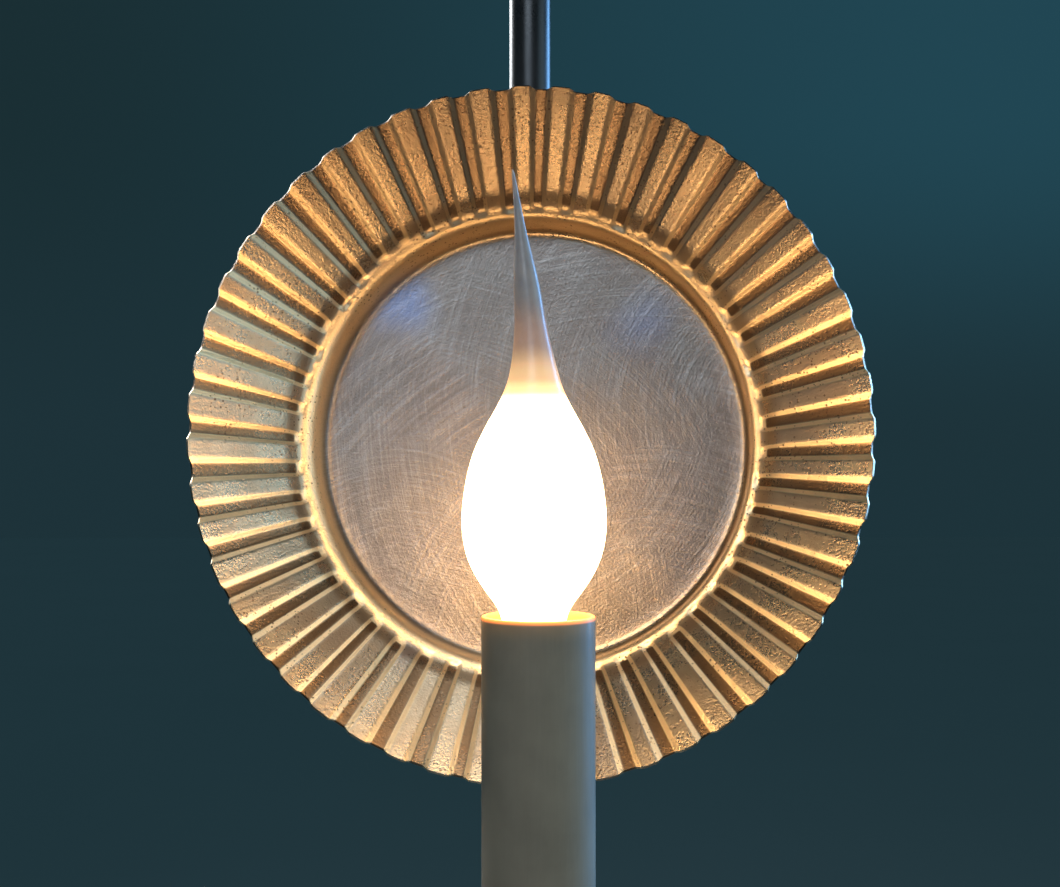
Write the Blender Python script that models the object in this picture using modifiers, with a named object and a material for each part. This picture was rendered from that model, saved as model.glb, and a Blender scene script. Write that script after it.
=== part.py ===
"""Wall sconce candle holder: an electric candle on a black arm, in front of a fluted tin reflector.

Metres, +Z up. The wall is the plane y = 0 and the sconce stands out from it along -Y.
The origin is the middle of the mounting strap's back face.
"""

import math

import bmesh
import bpy

MM = 0.001
GAP = 0.3 * MM  # clearance between any two pieces that touch
UP = (0.0, 0.0, 0.0)
FORWARD = (math.pi / 2, 0.0, 0.0)  # turns local +Z to -Y, away from the wall
RIGHT = (0.0, math.pi / 2, 0.0)  # turns local +Z to +X
INCH = 25.4 * MM
MARGIN = 1.0 * MM  # how far a cutter reaches past what it cuts

# Tubes
TUBE_RADIUS = 5.55 * MM
TUBE_WALL = 1.0 * MM
NIPPLE_RADIUS = 4.85 * MM
NIPPLE_BORE = 3.5 * MM
NIPPLE_HOLE = NIPPLE_RADIUS + GAP
TUBE_SOCKET = TUBE_RADIUS + GAP
NIPPLE_GRIP = 7.0 * MM  # how far the canopy nipple enters the elbow

# Mounting strap
STRAP_WIDTH = 16.0 * MM
STRAP_THICKNESS = 2.0 * MM
BOX_SCREW_SPACING = 3.5 * INCH
BOX_SLOT_WIDTH = 4.8 * MM
BOX_SLOT_LENGTH = 9.0 * MM
STUD_SPACING = 2.75 * INCH
STUD_RADIUS = 2.0 * MM
STUD_HOLE = STUD_RADIUS + GAP
JAM_NUT_RADIUS = STUD_HOLE + 2.1 * MM
JAM_NUT_HEIGHT = 2.4 * MM
GROUND_SCREW_X = 15.0 * MM
GROUND_SCREW_RADIUS = 1.9 * MM
GROUND_HEAD_RADIUS = 4.0 * MM
GROUND_HEAD_HEIGHT = 2.0 * MM

# Canopy
CANOPY_RADIUS = 60.0 * MM
CANOPY_DEPTH = 22.0 * MM
CANOPY_WALL = 1.2 * MM
CANOPY_RIM_DEPTH = 5.0 * MM
CANOPY_RIM_STEP = 4.0 * MM
CAP_NUT_RADIUS = STUD_HOLE + 2.7 * MM
CAP_NUT_LENGTH = 8.0 * MM
CAP_NUT_DOME = 3.0 * MM  # solid metal beyond the nut's blind hole
CAP_NUT_MARGIN = 2.075 * MM  # flat left round a cap nut
CANOPY_FLAT_RADIUS = STUD_SPACING / 2 + CAP_NUT_RADIUS + CAP_NUT_MARGIN
STRAP_MARGIN = 5.8 * MM  # from the strap's end to the canopy's wall
STRAP_LENGTH = 2.0 * (CANOPY_RADIUS - CANOPY_WALL - STRAP_MARGIN)
STUD_REACH = 4.0 * MM  # how far a stud stands out of the canopy
STUD_LENGTH = CANOPY_DEPTH + STUD_REACH
COLLAR_RADIUS = 13.0 * MM
COLLAR_LENGTH = 9.0 * MM
LOCKNUT_RADIUS = NIPPLE_HOLE + 2.45 * MM
LOCKNUT_HEIGHT = 3.6 * MM
WASHER_HEIGHT = 1.0 * MM
NIPPLE_TAIL = 2.6 * MM  # thread left bare behind the lock nut

# Stem and elbow
ELBOW_WALL = 2.35 * MM
ELBOW_RADIUS = TUBE_SOCKET + ELBOW_WALL
ELBOW_BARREL = 14.4 * MM  # from the elbow's back face to the stem's axis
ELBOW_DROP = 17.0 * MM
ELBOW_SOCKET = 11.0 * MM
ELBOW_PASSAGE = 4.6 * MM
STEM_BOTTOM_Z = -345.0 * MM
COUPLING_WALL = 1.75 * MM
COUPLING_RADIUS = TUBE_SOCKET + COUPLING_WALL
COUPLING_LENGTH = 18.0 * MM

# Candle arm
CANDLE_REACH = 102.0 * MM  # from the stem's axis to the candle's
BEND_DROP = 16.5 * MM  # straight tube between the lower end and the bend
BEND_STEPS = 16

# Candle sleeve and what carries it
SLEEVE_TOP_Z = -235.4 * MM
SLEEVE_LENGTH = 4.0 * INCH
SLEEVE_WALL = 1.0 * MM
SLEEVE_ROOM = 2.0 * MM  # between the sleeve's bore and the socket
SLEEVE_SHIFT = 0.9 * MM  # the sleeve hangs to one side of its play in the cup
CUP_WALL = 1.2 * MM
CUP_HEIGHT = 14.0 * MM
CUP_FLOOR = 1.5 * MM
PAN_RADIUS = 40.0 * MM
PAN_DEPTH = 7.0 * MM
PAN_WALL = 0.8 * MM
SEAT_WALL = 2.65 * MM
SEAT_SKIRT = 1.15 * MM
SEAT_RADIUS = TUBE_SOCKET + SEAT_WALL
SEAT_LENGTH = 12.0 * MM
SEAT_SHOULDER = 5.0 * MM

# Lamp socket
BRACKET_THICKNESS = 1.4 * MM
BRACKET_WIDTH = 8.0 * MM
BRACKET_SCREW_RADIUS = 1.5 * MM
FOOT_NUT_RADIUS = NIPPLE_HOLE + 1.35 * MM
FOOT_NUT_HEIGHT = 3.0 * MM
SOCKET_DROP = 8.0 * MM  # socket mouth below the sleeve's rim
SOCKET_HEIGHT = 22.0 * MM
SOCKET_WALL = 2.1 * MM
SOCKET_TAIL_RADIUS = 6.4 * MM
SOCKET_TAIL_HEIGHT = 14.0 * MM
SOCKET_WELL_DEPTH = 20.0 * MM
SHELL_WALL = 0.4 * MM
TERMINAL_SCREW_RADIUS = 1.2 * MM
TERMINAL_DROP = 7.0 * MM  # bracket screw below the socket's shoulder
TERMINAL_RAISE = 2.6 * MM  # wire screws above the bracket screw

# Lamp
CAP_RADIUS = 5.85 * MM
CAP_WALL = 0.4 * MM
CAP_PLAY = 0.35 * MM  # between the lamp's cap and the socket's shell
CAP_LENGTH = 16.0 * MM
CAP_RISE = 2.0 * MM  # cap above the socket's mouth
INSULATOR_HEIGHT = 2.2 * MM
TIP_HEIGHT = 1.4 * MM
GLASS_WALL = 0.6 * MM
COAT_WALL = 0.7 * MM
COAT_FLARE = 0.3 * MM  # the coat's foot beyond the cap
FLAME_RADIUS = 15.2 * MM
FLAME_HEIGHT = 93.5 * MM
TIP_LEAN = 4.5 * MM
LEAN_START = 50.0 * MM
FLAME_CENTRE = 20.0 * MM  # widest place above the sleeve's rim
GLASS_HEIGHT = 45.5 * MM  # the glass above the sleeve's rim

# Reflector
REFLECTOR_Z = -195.0 * MM
REFLECTOR_RADIUS = 82.5 * MM
REFLECTOR_OVALITY = 1.03
REFLECTOR_WALL = 0.8 * MM
REFLECTOR_LEAN = math.radians(8.0)
WELL_RADIUS = 54.6 * MM
WELL_SHIFT = 1.5 * MM
WELL_WALL_RUN = 2.4 * MM  # how far the well's wall flares
SHOULDER_RADIUS = WELL_RADIUS + WELL_WALL_RUN
SHOULDER_HEIGHT = 9.3 * MM
RIM_HEIGHT = 31.0 * MM
FLUTES = 51
FLUTE_DEPTH = 1.3 * MM
FLUTE_START = SHOULDER_RADIUS + 0.6 * MM
FLUTE_RUN_IN = 4.0 * MM
SCALLOP = 0.25 * MM

# Reflector knuckle
EYE_STEP = 0.2 * MM  # how far an eye stands proud of its arm
TILT_SCREW_RADIUS = 1.5 * MM
TILT_HEAD_RADIUS = 3.0 * MM
SCREW_HEAD_HEIGHT = 1.8 * MM
LUG_WIDTH = 6.0 * MM
LUG_RADIUS = TILT_SCREW_RADIUS + GAP + 1.7 * MM
EAR_RADIUS = LUG_RADIUS + 0.1 * MM
EAR_THICKNESS = 1.4 * MM
BASE_THICKNESS = 1.4 * MM
BASE_MARGIN = 0.5 * MM  # base plate beyond each ear
BASE_WIDTH = LUG_WIDTH + 2.0 * (GAP + EAR_THICKNESS + BASE_MARGIN)
BASE_HEIGHT = 30.0 * MM
BASE_CLEARANCE = 1.5 * MM  # between the lug and the base plate
PLATE_REACH = LUG_RADIUS + BASE_CLEARANCE + BASE_THICKNESS + GAP + REFLECTOR_WALL
RIVET_MARGIN = 5.0 * MM  # from a rivet to the base plate's end
RIVET_OFFSET = BASE_HEIGHT / 2 - RIVET_MARGIN
RIVET_RADIUS = 1.6 * MM
RIVET_HEAD_RADIUS = 3.2 * MM
RIVET_HEAD_HEIGHT = 1.3 * MM
RIVET_TAIL_RADIUS = 2.7 * MM
RIVET_TAIL_HEIGHT = 1.0 * MM
THUMB_NUT_RADIUS = 5.0 * MM
THUMB_NUT_WIDTH = 6.0 * MM
THUMB_NUT_NECK = 1.6 * MM  # how far the nut's neck steps in
CLAMP_WALL = 2.25 * MM
CLAMP_RADIUS = TUBE_SOCKET + CLAMP_WALL
CLAMP_HEIGHT = 16.0 * MM
CLAMP_SCREW_RADIUS = 1.5 * MM
CLAMP_HEAD_RADIUS = 2.8 * MM
CLAMP_NUT_RADIUS = 3.2 * MM
CLAMP_NUT_HEIGHT = 2.4 * MM
CLAMP_SCREW_X = CLAMP_RADIUS + CLAMP_HEAD_RADIUS + 2.0 * GAP
FLANGE_MARGIN = 3.5 * MM  # flange beyond a clamp screw's axis
FLANGE_REACH = CLAMP_SCREW_X + FLANGE_MARGIN
FLANGE_THICKNESS = 2.4 * MM
LUG_CLEARANCE = 0.9 * MM  # between the lug's eye and the saddle
KNUCKLE_REACH = CLAMP_RADIUS + LUG_RADIUS + LUG_CLEARANCE  # from the stem's axis to the tilt screw

# Wires
WIRE_RADIUS = 1.0 * MM
WIRE_OFFSET = 1.4 * MM
WIRE_NUT_RADIUS = 5.0 * MM
WIRE_NUT_LENGTH = 18.0 * MM
WIRE_NUT_PLACE = (13.0 * MM, -9.5 * MM, 20.0 * MM)

# Levels and places worked out from the sizes above
CANOPY_FACE_Y = -CANOPY_DEPTH
COLLAR_BACK_Y = CANOPY_FACE_Y - GAP
ELBOW_BACK_Y = COLLAR_BACK_Y - COLLAR_LENGTH - GAP
STEM_Y = ELBOW_BACK_Y - ELBOW_BARREL
CANDLE_Y = STEM_Y - CANDLE_REACH
BEND_RADIUS = CANDLE_REACH / 2
SLEEVE_BOTTOM_Z = SLEEVE_TOP_Z - SLEEVE_LENGTH
CUP_FLOOR_Z = SLEEVE_BOTTOM_Z - GAP
PAN_FLOOR_Z = CUP_FLOOR_Z - CUP_FLOOR - GAP
SEAT_TOP_Z = PAN_FLOOR_Z - PAN_WALL - GAP
ARM_TOP_Z = SEAT_TOP_Z - SEAT_SHOULDER - GAP
BEND_Z = min(STEM_BOTTOM_Z, ARM_TOP_Z) - BEND_DROP
SOCKET_WELL_RADIUS = CAP_RADIUS + CAP_PLAY + SHELL_WALL + GAP
SOCKET_RADIUS = SOCKET_WELL_RADIUS + SOCKET_WALL
SLEEVE_RADIUS = SOCKET_RADIUS + SLEEVE_ROOM + SLEEVE_WALL
BRACKET_FOOT_RADIUS = SOCKET_TAIL_RADIUS + GAP + BRACKET_THICKNESS + 0.2 * MM
FOOT_Z = CUP_FLOOR_Z + GAP
FOOT_NUT_Z = FOOT_Z + BRACKET_THICKNESS + GAP
NIPPLE_TOP_Z = FOOT_NUT_Z + FOOT_NUT_HEIGHT + 1.2 * MM
SOCKET_TOP_Z = SLEEVE_TOP_Z - SOCKET_DROP
SOCKET_SHOULDER_Z = SOCKET_TOP_Z - SOCKET_HEIGHT
TERMINAL_Z = SOCKET_SHOULDER_Z - TERMINAL_DROP
CAP_TOP_Z = SOCKET_TOP_Z + CAP_RISE
CAP_BOTTOM_Z = CAP_TOP_Z - CAP_LENGTH
RIM_REACH = PLATE_REACH + RIM_HEIGHT
PIN_Y = STEM_Y - KNUCKLE_REACH
PIN_Z = REFLECTOR_Z - RIM_REACH * math.sin(REFLECTOR_LEAN)

# Finishes: colour, roughness, metallic
BLACK_ENAMEL = (0.012, 0.012, 0.013), 0.22, 0.0
AGED_TIN = (0.42, 0.39, 0.36), 0.42, 1.0
STEEL = (0.55, 0.55, 0.56), 0.32, 1.0
BRASS = (0.72, 0.50, 0.22), 0.30, 1.0
IVORY = (0.78, 0.70, 0.55), 0.45, 0.0
PHENOLIC = (0.02, 0.018, 0.016), 0.40, 0.0
NICKEL = (0.66, 0.62, 0.56), 0.25, 1.0
SILICONE = (0.95, 0.82, 0.66), 0.38, 0.0
CLEAR_GLASS = (0.92, 0.94, 0.95), 0.05, 0.0
TUNGSTEN = (1.0, 0.62, 0.28), 0.50, 0.0
GREEN_STEEL = (0.05, 0.30, 0.10), 0.40, 0.6
BLACK_WIRE = (0.02, 0.02, 0.02), 0.50, 0.0
WHITE_WIRE = (0.80, 0.80, 0.78), 0.50, 0.0
ORANGE_PLASTIC = (0.80, 0.28, 0.05), 0.45, 0.0


def clear_scene():
    """Removes every object, so that the file builds the same model in any session."""
    for obj in list(bpy.data.objects):
        bpy.data.objects.remove(obj, do_unlink=True)


def new_collection(name):
    collection = bpy.data.collections.new(name)
    bpy.context.scene.collection.children.link(collection)
    return collection


clear_scene()
PARTS = new_collection("wall_sconce")
CUTTERS = new_collection("cutters")


def dress(obj, finish):
    colour, roughness, metallic = finish
    material = bpy.data.materials.new(obj.name)
    material.use_nodes = True
    shader = material.node_tree.nodes["Principled BSDF"]
    shader.inputs["Base Color"].default_value = (*colour, 1.0)
    shader.inputs["Roughness"].default_value = roughness
    shader.inputs["Metallic"].default_value = metallic
    obj.data.materials.append(material)


def add_object(name, data, finish, location=UP, rotation=UP, parent=None):
    """Links an object: a part when it has a finish, a hidden cutter when it has none."""
    obj = bpy.data.objects.new(name, data)
    obj.location = location
    obj.rotation_euler = rotation
    obj.parent = parent
    if finish is None:
        CUTTERS.objects.link(obj)
        obj.hide_render = True
        obj.display_type = "WIRE"
    else:
        PARTS.objects.link(obj)
        dress(obj, finish)
    return obj


def turned(name, profile, finish, location=UP, rotation=UP, steps=24, ring=False, parent=None):
    """A profile of (radius, height) points, top to bottom down its outer side, turned about local Z."""
    mesh = bpy.data.meshes.new(name)
    count = len(profile)
    edges = [(i, i + 1) for i in range(count - 1)]
    if ring:
        edges.append((count - 1, 0))
    mesh.from_pydata([(radius, 0.0, height) for radius, height in profile], edges, [])
    obj = add_object(name, mesh, finish, location, rotation, parent)
    screw = obj.modifiers.new("turn", "SCREW")
    screw.steps = screw.render_steps = steps
    screw.use_merge_vertices = True
    screw.merge_threshold = 1e-5
    return obj


def pipe(name, outer, bore, bottom, top, finish, location=UP, rotation=UP, steps=24, parent=None):
    """A straight round tube from bottom to top along the object's Z."""
    profile = [(outer, top), (outer, bottom), (bore, bottom), (bore, top)]
    return turned(name, profile, finish, location, rotation, steps, True, parent)


def rod(name, radius, bottom, top, finish, location=UP, rotation=UP, steps=20, parent=None):
    """A solid round bar from bottom to top along the object's Z."""
    profile = [(0.0, top), (radius, top), (radius, bottom), (0.0, bottom)]
    return turned(name, profile, finish, location, rotation, steps, False, parent)


def block(name, low, high, finish, parent=None, bevel=0.0):
    """A box between two opposite corners."""
    mesh = bpy.data.meshes.new(name)
    cube = bmesh.new()
    bmesh.ops.create_cube(cube, size=1.0)
    for vert in cube.verts:
        for axis in range(3):
            middle = (low[axis] + high[axis]) / 2
            vert.co[axis] = middle + vert.co[axis] * (high[axis] - low[axis])
    cube.to_mesh(mesh)
    cube.free()
    obj = add_object(name, mesh, finish, parent=parent)
    if bevel:
        rounding = obj.modifiers.new("rounded_edges", "BEVEL")
        rounding.width = bevel
        rounding.segments = 2
    return obj


def shade_round(obj):
    """Shades a round piece smooth, with its corners left sharp."""
    mesh = real_mesh(obj) if obj.modifiers else obj.data
    mesh.shade_smooth()
    mesh.set_sharp_from_angle(angle=math.radians(35.0))


def join_with(obj, helper, operation):
    boolean = obj.modifiers.new(operation.lower(), "BOOLEAN")
    boolean.operation = operation
    boolean.solver = "EXACT"
    boolean.object = helper


def cut(obj, cutter):
    join_with(obj, cutter, "DIFFERENCE")


def add_shape(obj, helper):
    join_with(obj, helper, "UNION")


def drill(obj, radius, start, end, location, rotation=UP, steps=20, parent=None):
    """Cuts a round hole along the given axis, from start to end."""
    name = f"{obj.name}_hole_{len(obj.modifiers)}"
    cut(obj, rod(name, radius, start, end, None, location, rotation, steps, parent))


def real_mesh(obj):
    """Turns an object's modifiers into plain mesh, for a shape that is then bent by a formula."""
    graph = bpy.context.evaluated_depsgraph_get()
    mesh = bpy.data.meshes.new_from_object(obj.evaluated_get(graph))
    obj.modifiers.clear()
    obj.data = mesh
    return mesh


def route(name, points, radius, finish, sides_resolution=2, capped=True):
    """A round bar or skin along a list of points."""
    curve = bpy.data.curves.new(name, "CURVE")
    curve.dimensions = "3D"
    curve.bevel_depth = radius
    curve.bevel_resolution = sides_resolution
    curve.use_fill_caps = capped
    spline = curve.splines.new("POLY")
    spline.points.add(len(points) - 1)
    for spot, point in zip(spline.points, points):
        spot.co = (*point, 1.0)
    return add_object(name, curve, finish)


def arc(centre_y, centre_z, radius, start, end, steps, x=0.0):
    """Points of a circular arc in a plane of constant x; angles in degrees from +Y towards +Z."""
    found = []
    for step in range(steps + 1):
        angle = math.radians(start + (end - start) * step / steps)
        found.append((x, centre_y + radius * math.cos(angle), centre_z + radius * math.sin(angle)))
    return found


def ease(share):
    """Smooth step from 0 to 1."""
    share = min(max(share, 0.0), 1.0)
    return share * share * (3.0 - 2.0 * share)


def hex_nut(name, radius, bore, bottom, top, finish, location, rotation=UP, parent=None):
    nut = rod(name, radius, bottom, top, finish, location, rotation, 6, parent)
    margin = 1.0 * MM
    drill(nut, bore, bottom - margin, top + margin, location, rotation, 20, parent)
    return nut


def screw_with_head(name, shaft, length, head, head_height, finish, location, rotation, parent=None):
    """A round-headed screw: its head's seat is at the object's origin and the head stands on local +Z."""
    profile = [
        (0.0, head_height),
        (head * 0.55, head_height * 0.92),
        (head * 0.88, head_height * 0.6),
        (head, head_height * 0.12),
        (head, 0.0),
        (shaft, 0.0),
        (shaft, -length),
        (0.0, -length),
    ]
    return turned(name, profile, finish, location, rotation, 14, False, parent)


# Wall fixing


def mounting_strap():
    half = STRAP_LENGTH / 2
    width = STRAP_WIDTH / 2
    strap = block("mounting_strap", (-half, -STRAP_THICKNESS, -width), (half, 0.0, width), STEEL)
    depth = STRAP_THICKNESS + MARGIN
    for side in (-1, 1):
        drill(strap, STUD_HOLE, -depth, depth, (side * STUD_SPACING / 2, 0.0, 0.0), FORWARD)
        slot = BOX_SLOT_WIDTH / 2
        run = BOX_SLOT_LENGTH / 2 - slot
        centre = side * BOX_SCREW_SPACING / 2
        low = (centre - run, -depth, -slot)
        high = (centre + run, depth, slot)
        cut(strap, block(f"slot_{side}", low, high, None))
        for end in (-run, run):
            drill(strap, slot, -depth, depth, (centre + end, 0.0, 0.0), FORWARD)
    drill(strap, GROUND_SCREW_RADIUS + GAP, -depth, depth, (GROUND_SCREW_X, 0.0, 0.0), FORWARD)


def strap_fasteners():
    for side, word in ((-1, "left"), (1, "right")):
        place = (side * STUD_SPACING / 2, 0.0, 0.0)
        rod(f"canopy_stud_{word}", STUD_RADIUS, GAP, STUD_LENGTH, STEEL, place, FORWARD, 16)
        start = STRAP_THICKNESS + GAP
        end = start + JAM_NUT_HEIGHT
        hex_nut(f"jam_nut_{word}", JAM_NUT_RADIUS, STUD_HOLE, start, end, STEEL, place, FORWARD)
        cap_nut(word, place)
    seat = (GROUND_SCREW_X, -STRAP_THICKNESS - GAP, 0.0)
    head = GROUND_HEAD_RADIUS, GROUND_HEAD_HEIGHT
    screw_with_head("ground_screw", GROUND_SCREW_RADIUS, STRAP_THICKNESS, *head, GREEN_STEEL, seat, FORWARD)


def cap_nut(word, place):
    """An acorn nut: a skirt, a domed end and a blind hole for the stud."""
    base = CANOPY_DEPTH + GAP
    dome = base + CAP_NUT_LENGTH
    waist = CAP_NUT_RADIUS * 0.8
    end = dome - CAP_NUT_DOME
    profile = [
        (0.0, dome),
        (waist * 0.5, dome - CAP_NUT_LENGTH * 0.06),
        (waist * 0.87, dome - CAP_NUT_LENGTH * 0.25),
        (waist, dome - CAP_NUT_LENGTH * 0.5),
        (CAP_NUT_RADIUS, base + CAP_NUT_LENGTH * 0.4),
        (CAP_NUT_RADIUS, base),
        (STUD_HOLE, base),
        (STUD_HOLE, end),
        (0.0, end),
    ]
    turned(f"cap_nut_{word}", profile, BRASS, place, FORWARD, 20)


def canopy():
    """A stepped round pan, open to the wall, with holes for the nipple and the two studs."""
    rim = CANOPY_RIM_DEPTH
    depth = CANOPY_DEPTH
    step = CANOPY_RADIUS - CANOPY_RIM_STEP
    waist = (step + CANOPY_FLAT_RADIUS) / 2
    outer = [
        (CANOPY_FLAT_RADIUS, depth),
        (waist, depth - 2.6 * MM),
        (step - 3.0 * MM, rim + 4.5 * MM),
        (step, rim + 1.5 * MM),
        (CANOPY_RADIUS, rim),
        (CANOPY_RADIUS, 0.0),
    ]
    inner = [(radius - CANOPY_WALL, max(height - CANOPY_WALL, 0.0)) for radius, height in reversed(outer)]
    middle = [(NIPPLE_HOLE, depth - CANOPY_WALL), (NIPPLE_HOLE, depth)]
    pan = turned("canopy", outer + inner + middle, BLACK_ENAMEL, UP, FORWARD, 28, True)
    for side in (-1, 1):
        place = (side * STUD_SPACING / 2, 0.0, 0.0)
        drill(pan, STUD_HOLE, depth - CANOPY_WALL - MARGIN, depth + MARGIN, place, FORWARD)


def canopy_fittings():
    """The nipple through the canopy's middle, its washer and lock nut inside and its collar outside."""
    inside = CANOPY_DEPTH - CANOPY_WALL - GAP
    washer_back = inside - WASHER_HEIGHT
    nut_back = washer_back - GAP - LOCKNUT_HEIGHT
    pipe("lock_washer", LOCKNUT_RADIUS, NIPPLE_HOLE, washer_back, inside, STEEL, UP, FORWARD, 24)
    hex_nut("canopy_lock_nut", LOCKNUT_RADIUS, NIPPLE_HOLE, nut_back, washer_back - GAP, STEEL, UP, FORWARD)
    end = -ELBOW_BACK_Y + NIPPLE_GRIP
    pipe("canopy_nipple", NIPPLE_RADIUS, NIPPLE_BORE, nut_back - NIPPLE_TAIL, end, STEEL, UP, FORWARD, 24)
    back = -COLLAR_BACK_Y
    front = back + COLLAR_LENGTH
    collar = [
        (ELBOW_RADIUS, front),
        (ELBOW_RADIUS + 0.6 * MM, front - 2.5 * MM),
        (COLLAR_RADIUS - 2.2 * MM, back + 4.0 * MM),
        (COLLAR_RADIUS, back + 2.2 * MM),
        (COLLAR_RADIUS, back),
        (NIPPLE_HOLE, back),
        (NIPPLE_HOLE, front),
    ]
    turned("canopy_collar", collar, BLACK_ENAMEL, UP, FORWARD, 28, True)


# Stem and arm


def elbow():
    """A cast elbow: the nipple enters from the wall side and the stem from below."""
    corner = (0.0, STEM_Y, 0.0)
    body = rod("elbow", ELBOW_RADIUS, -ELBOW_DROP, 0.0, BLACK_ENAMEL, corner, UP, 24)
    reach = ELBOW_BACK_Y - STEM_Y
    add_shape(body, rod("elbow_barrel", ELBOW_RADIUS, -reach, 0.0, None, corner, FORWARD, 24))
    add_shape(body, ball("elbow_corner", ELBOW_RADIUS * 1.12, corner, 24, 12))
    drill(body, TUBE_SOCKET, -ELBOW_DROP - MARGIN, -ELBOW_DROP + ELBOW_SOCKET, corner, UP, 20)
    drill(body, ELBOW_PASSAGE, -ELBOW_DROP, 0.0, corner, UP, 16)
    drill(body, NIPPLE_HOLE, -reach - MARGIN, -reach + NIPPLE_GRIP + GAP, corner, FORWARD, 20)
    drill(body, ELBOW_PASSAGE, -reach, 0.0, corner, FORWARD, 16)
    cut(body, ball("elbow_hollow", ELBOW_PASSAGE * 1.2, corner, 18, 9))


def ball(name, radius, centre, segments, rings):
    mesh = bpy.data.meshes.new(name)
    sphere = bmesh.new()
    bmesh.ops.create_uvsphere(sphere, u_segments=segments, v_segments=rings, radius=radius)
    sphere.to_mesh(mesh)
    sphere.free()
    return add_object(name, mesh, None, centre)


def stem():
    top = -ELBOW_DROP + ELBOW_SOCKET - GAP
    place = (0.0, STEM_Y, 0.0)
    bore = TUBE_RADIUS - TUBE_WALL
    pipe("stem_tube", TUBE_RADIUS, bore, STEM_BOTTOM_Z + GAP / 2, top, BLACK_ENAMEL, place, UP, 24)
    half = COUPLING_LENGTH / 2
    profile = [
        (COUPLING_RADIUS - 1.2 * MM, half),
        (COUPLING_RADIUS, half - 1.2 * MM),
        (COUPLING_RADIUS, -half + 1.2 * MM),
        (COUPLING_RADIUS - 1.2 * MM, -half),
        (TUBE_SOCKET, -half),
        (TUBE_SOCKET, half),
    ]
    turned("stem_coupling", profile, BLACK_ENAMEL, (0.0, STEM_Y, STEM_BOTTOM_Z), UP, 24, True)


def candle_arm():
    """The J-shaped tube: down from the stem, half a circle forward, and up to the candle."""
    middle = STEM_Y - BEND_RADIUS
    points = [(0.0, STEM_Y, STEM_BOTTOM_Z - GAP / 2)]
    points += arc(middle, BEND_Z, BEND_RADIUS, 0.0, -180.0, BEND_STEPS)
    points.append((0.0, CANDLE_Y, ARM_TOP_Z))
    tube = route("candle_arm", points, TUBE_RADIUS, BLACK_ENAMEL, 6, False)
    wall = tube.modifiers.new("wall", "SOLIDIFY")
    wall.thickness = TUBE_WALL
    wall.offset = -1.0


def arm_end():
    """The seat on the arm's end, and the nipple that holds pan, cup and socket bracket down on it."""
    place = (0.0, CANDLE_Y, 0.0)
    bottom = SEAT_TOP_Z - SEAT_LENGTH
    shoulder = SEAT_TOP_Z - SEAT_SHOULDER
    profile = [
        (SEAT_RADIUS, SEAT_TOP_Z),
        (SEAT_RADIUS, SEAT_TOP_Z - 3.0 * MM),
        (TUBE_SOCKET + SEAT_SKIRT, SEAT_TOP_Z - 5.0 * MM),
        (TUBE_SOCKET + SEAT_SKIRT, bottom),
        (TUBE_SOCKET, bottom),
        (TUBE_SOCKET, shoulder),
        (NIPPLE_HOLE, shoulder),
        (NIPPLE_HOLE, SEAT_TOP_Z),
    ]
    turned("arm_seat", profile, BLACK_ENAMEL, place, UP, 24, True)
    pipe("arm_nipple", NIPPLE_RADIUS, NIPPLE_BORE, shoulder + GAP, NIPPLE_TOP_Z, STEEL, place, UP, 24)


def drip_pan():
    """A shallow tin dish with a flared rim, under the candle cup."""
    floor = PAN_RADIUS * 0.62
    outer = [
        (PAN_RADIUS, PAN_DEPTH - PAN_WALL),
        (PAN_RADIUS - 6.0 * MM, PAN_DEPTH * 0.45),
        (floor, -PAN_WALL),
        (NIPPLE_HOLE, -PAN_WALL),
    ]
    inner = [
        (NIPPLE_HOLE, 0.0),
        (floor - 0.3 * MM, 0.0),
        (PAN_RADIUS - 6.5 * MM, PAN_DEPTH * 0.45 + PAN_WALL),
        (PAN_RADIUS, PAN_DEPTH),
    ]
    turned("drip_pan", outer + inner, AGED_TIN, (0.0, CANDLE_Y, PAN_FLOOR_Z), UP, 24, True)


def candle_cup():
    """The cup that the sleeve stands in, with room for the sleeve's play."""
    bore = SLEEVE_RADIUS + SLEEVE_SHIFT + GAP
    outer = bore + CUP_WALL
    profile = [
        (outer, CUP_HEIGHT),
        (outer, 1.0 * MM),
        (outer - 1.6 * MM, -CUP_FLOOR),
        (NIPPLE_HOLE, -CUP_FLOOR),
        (NIPPLE_HOLE, 0.0),
        (bore, 0.0),
        (bore, CUP_HEIGHT),
    ]
    turned("candle_cup", profile, BLACK_ENAMEL, (0.0, CANDLE_Y, CUP_FLOOR_Z), UP, 32, True)


def candle_sleeve():
    place = (SLEEVE_SHIFT, CANDLE_Y, SLEEVE_BOTTOM_Z)
    bore = SLEEVE_RADIUS - SLEEVE_WALL
    pipe("candle_sleeve", SLEEVE_RADIUS, bore, 0.0, SLEEVE_LENGTH, IVORY, place, UP, 28)


# Lamp socket


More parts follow.
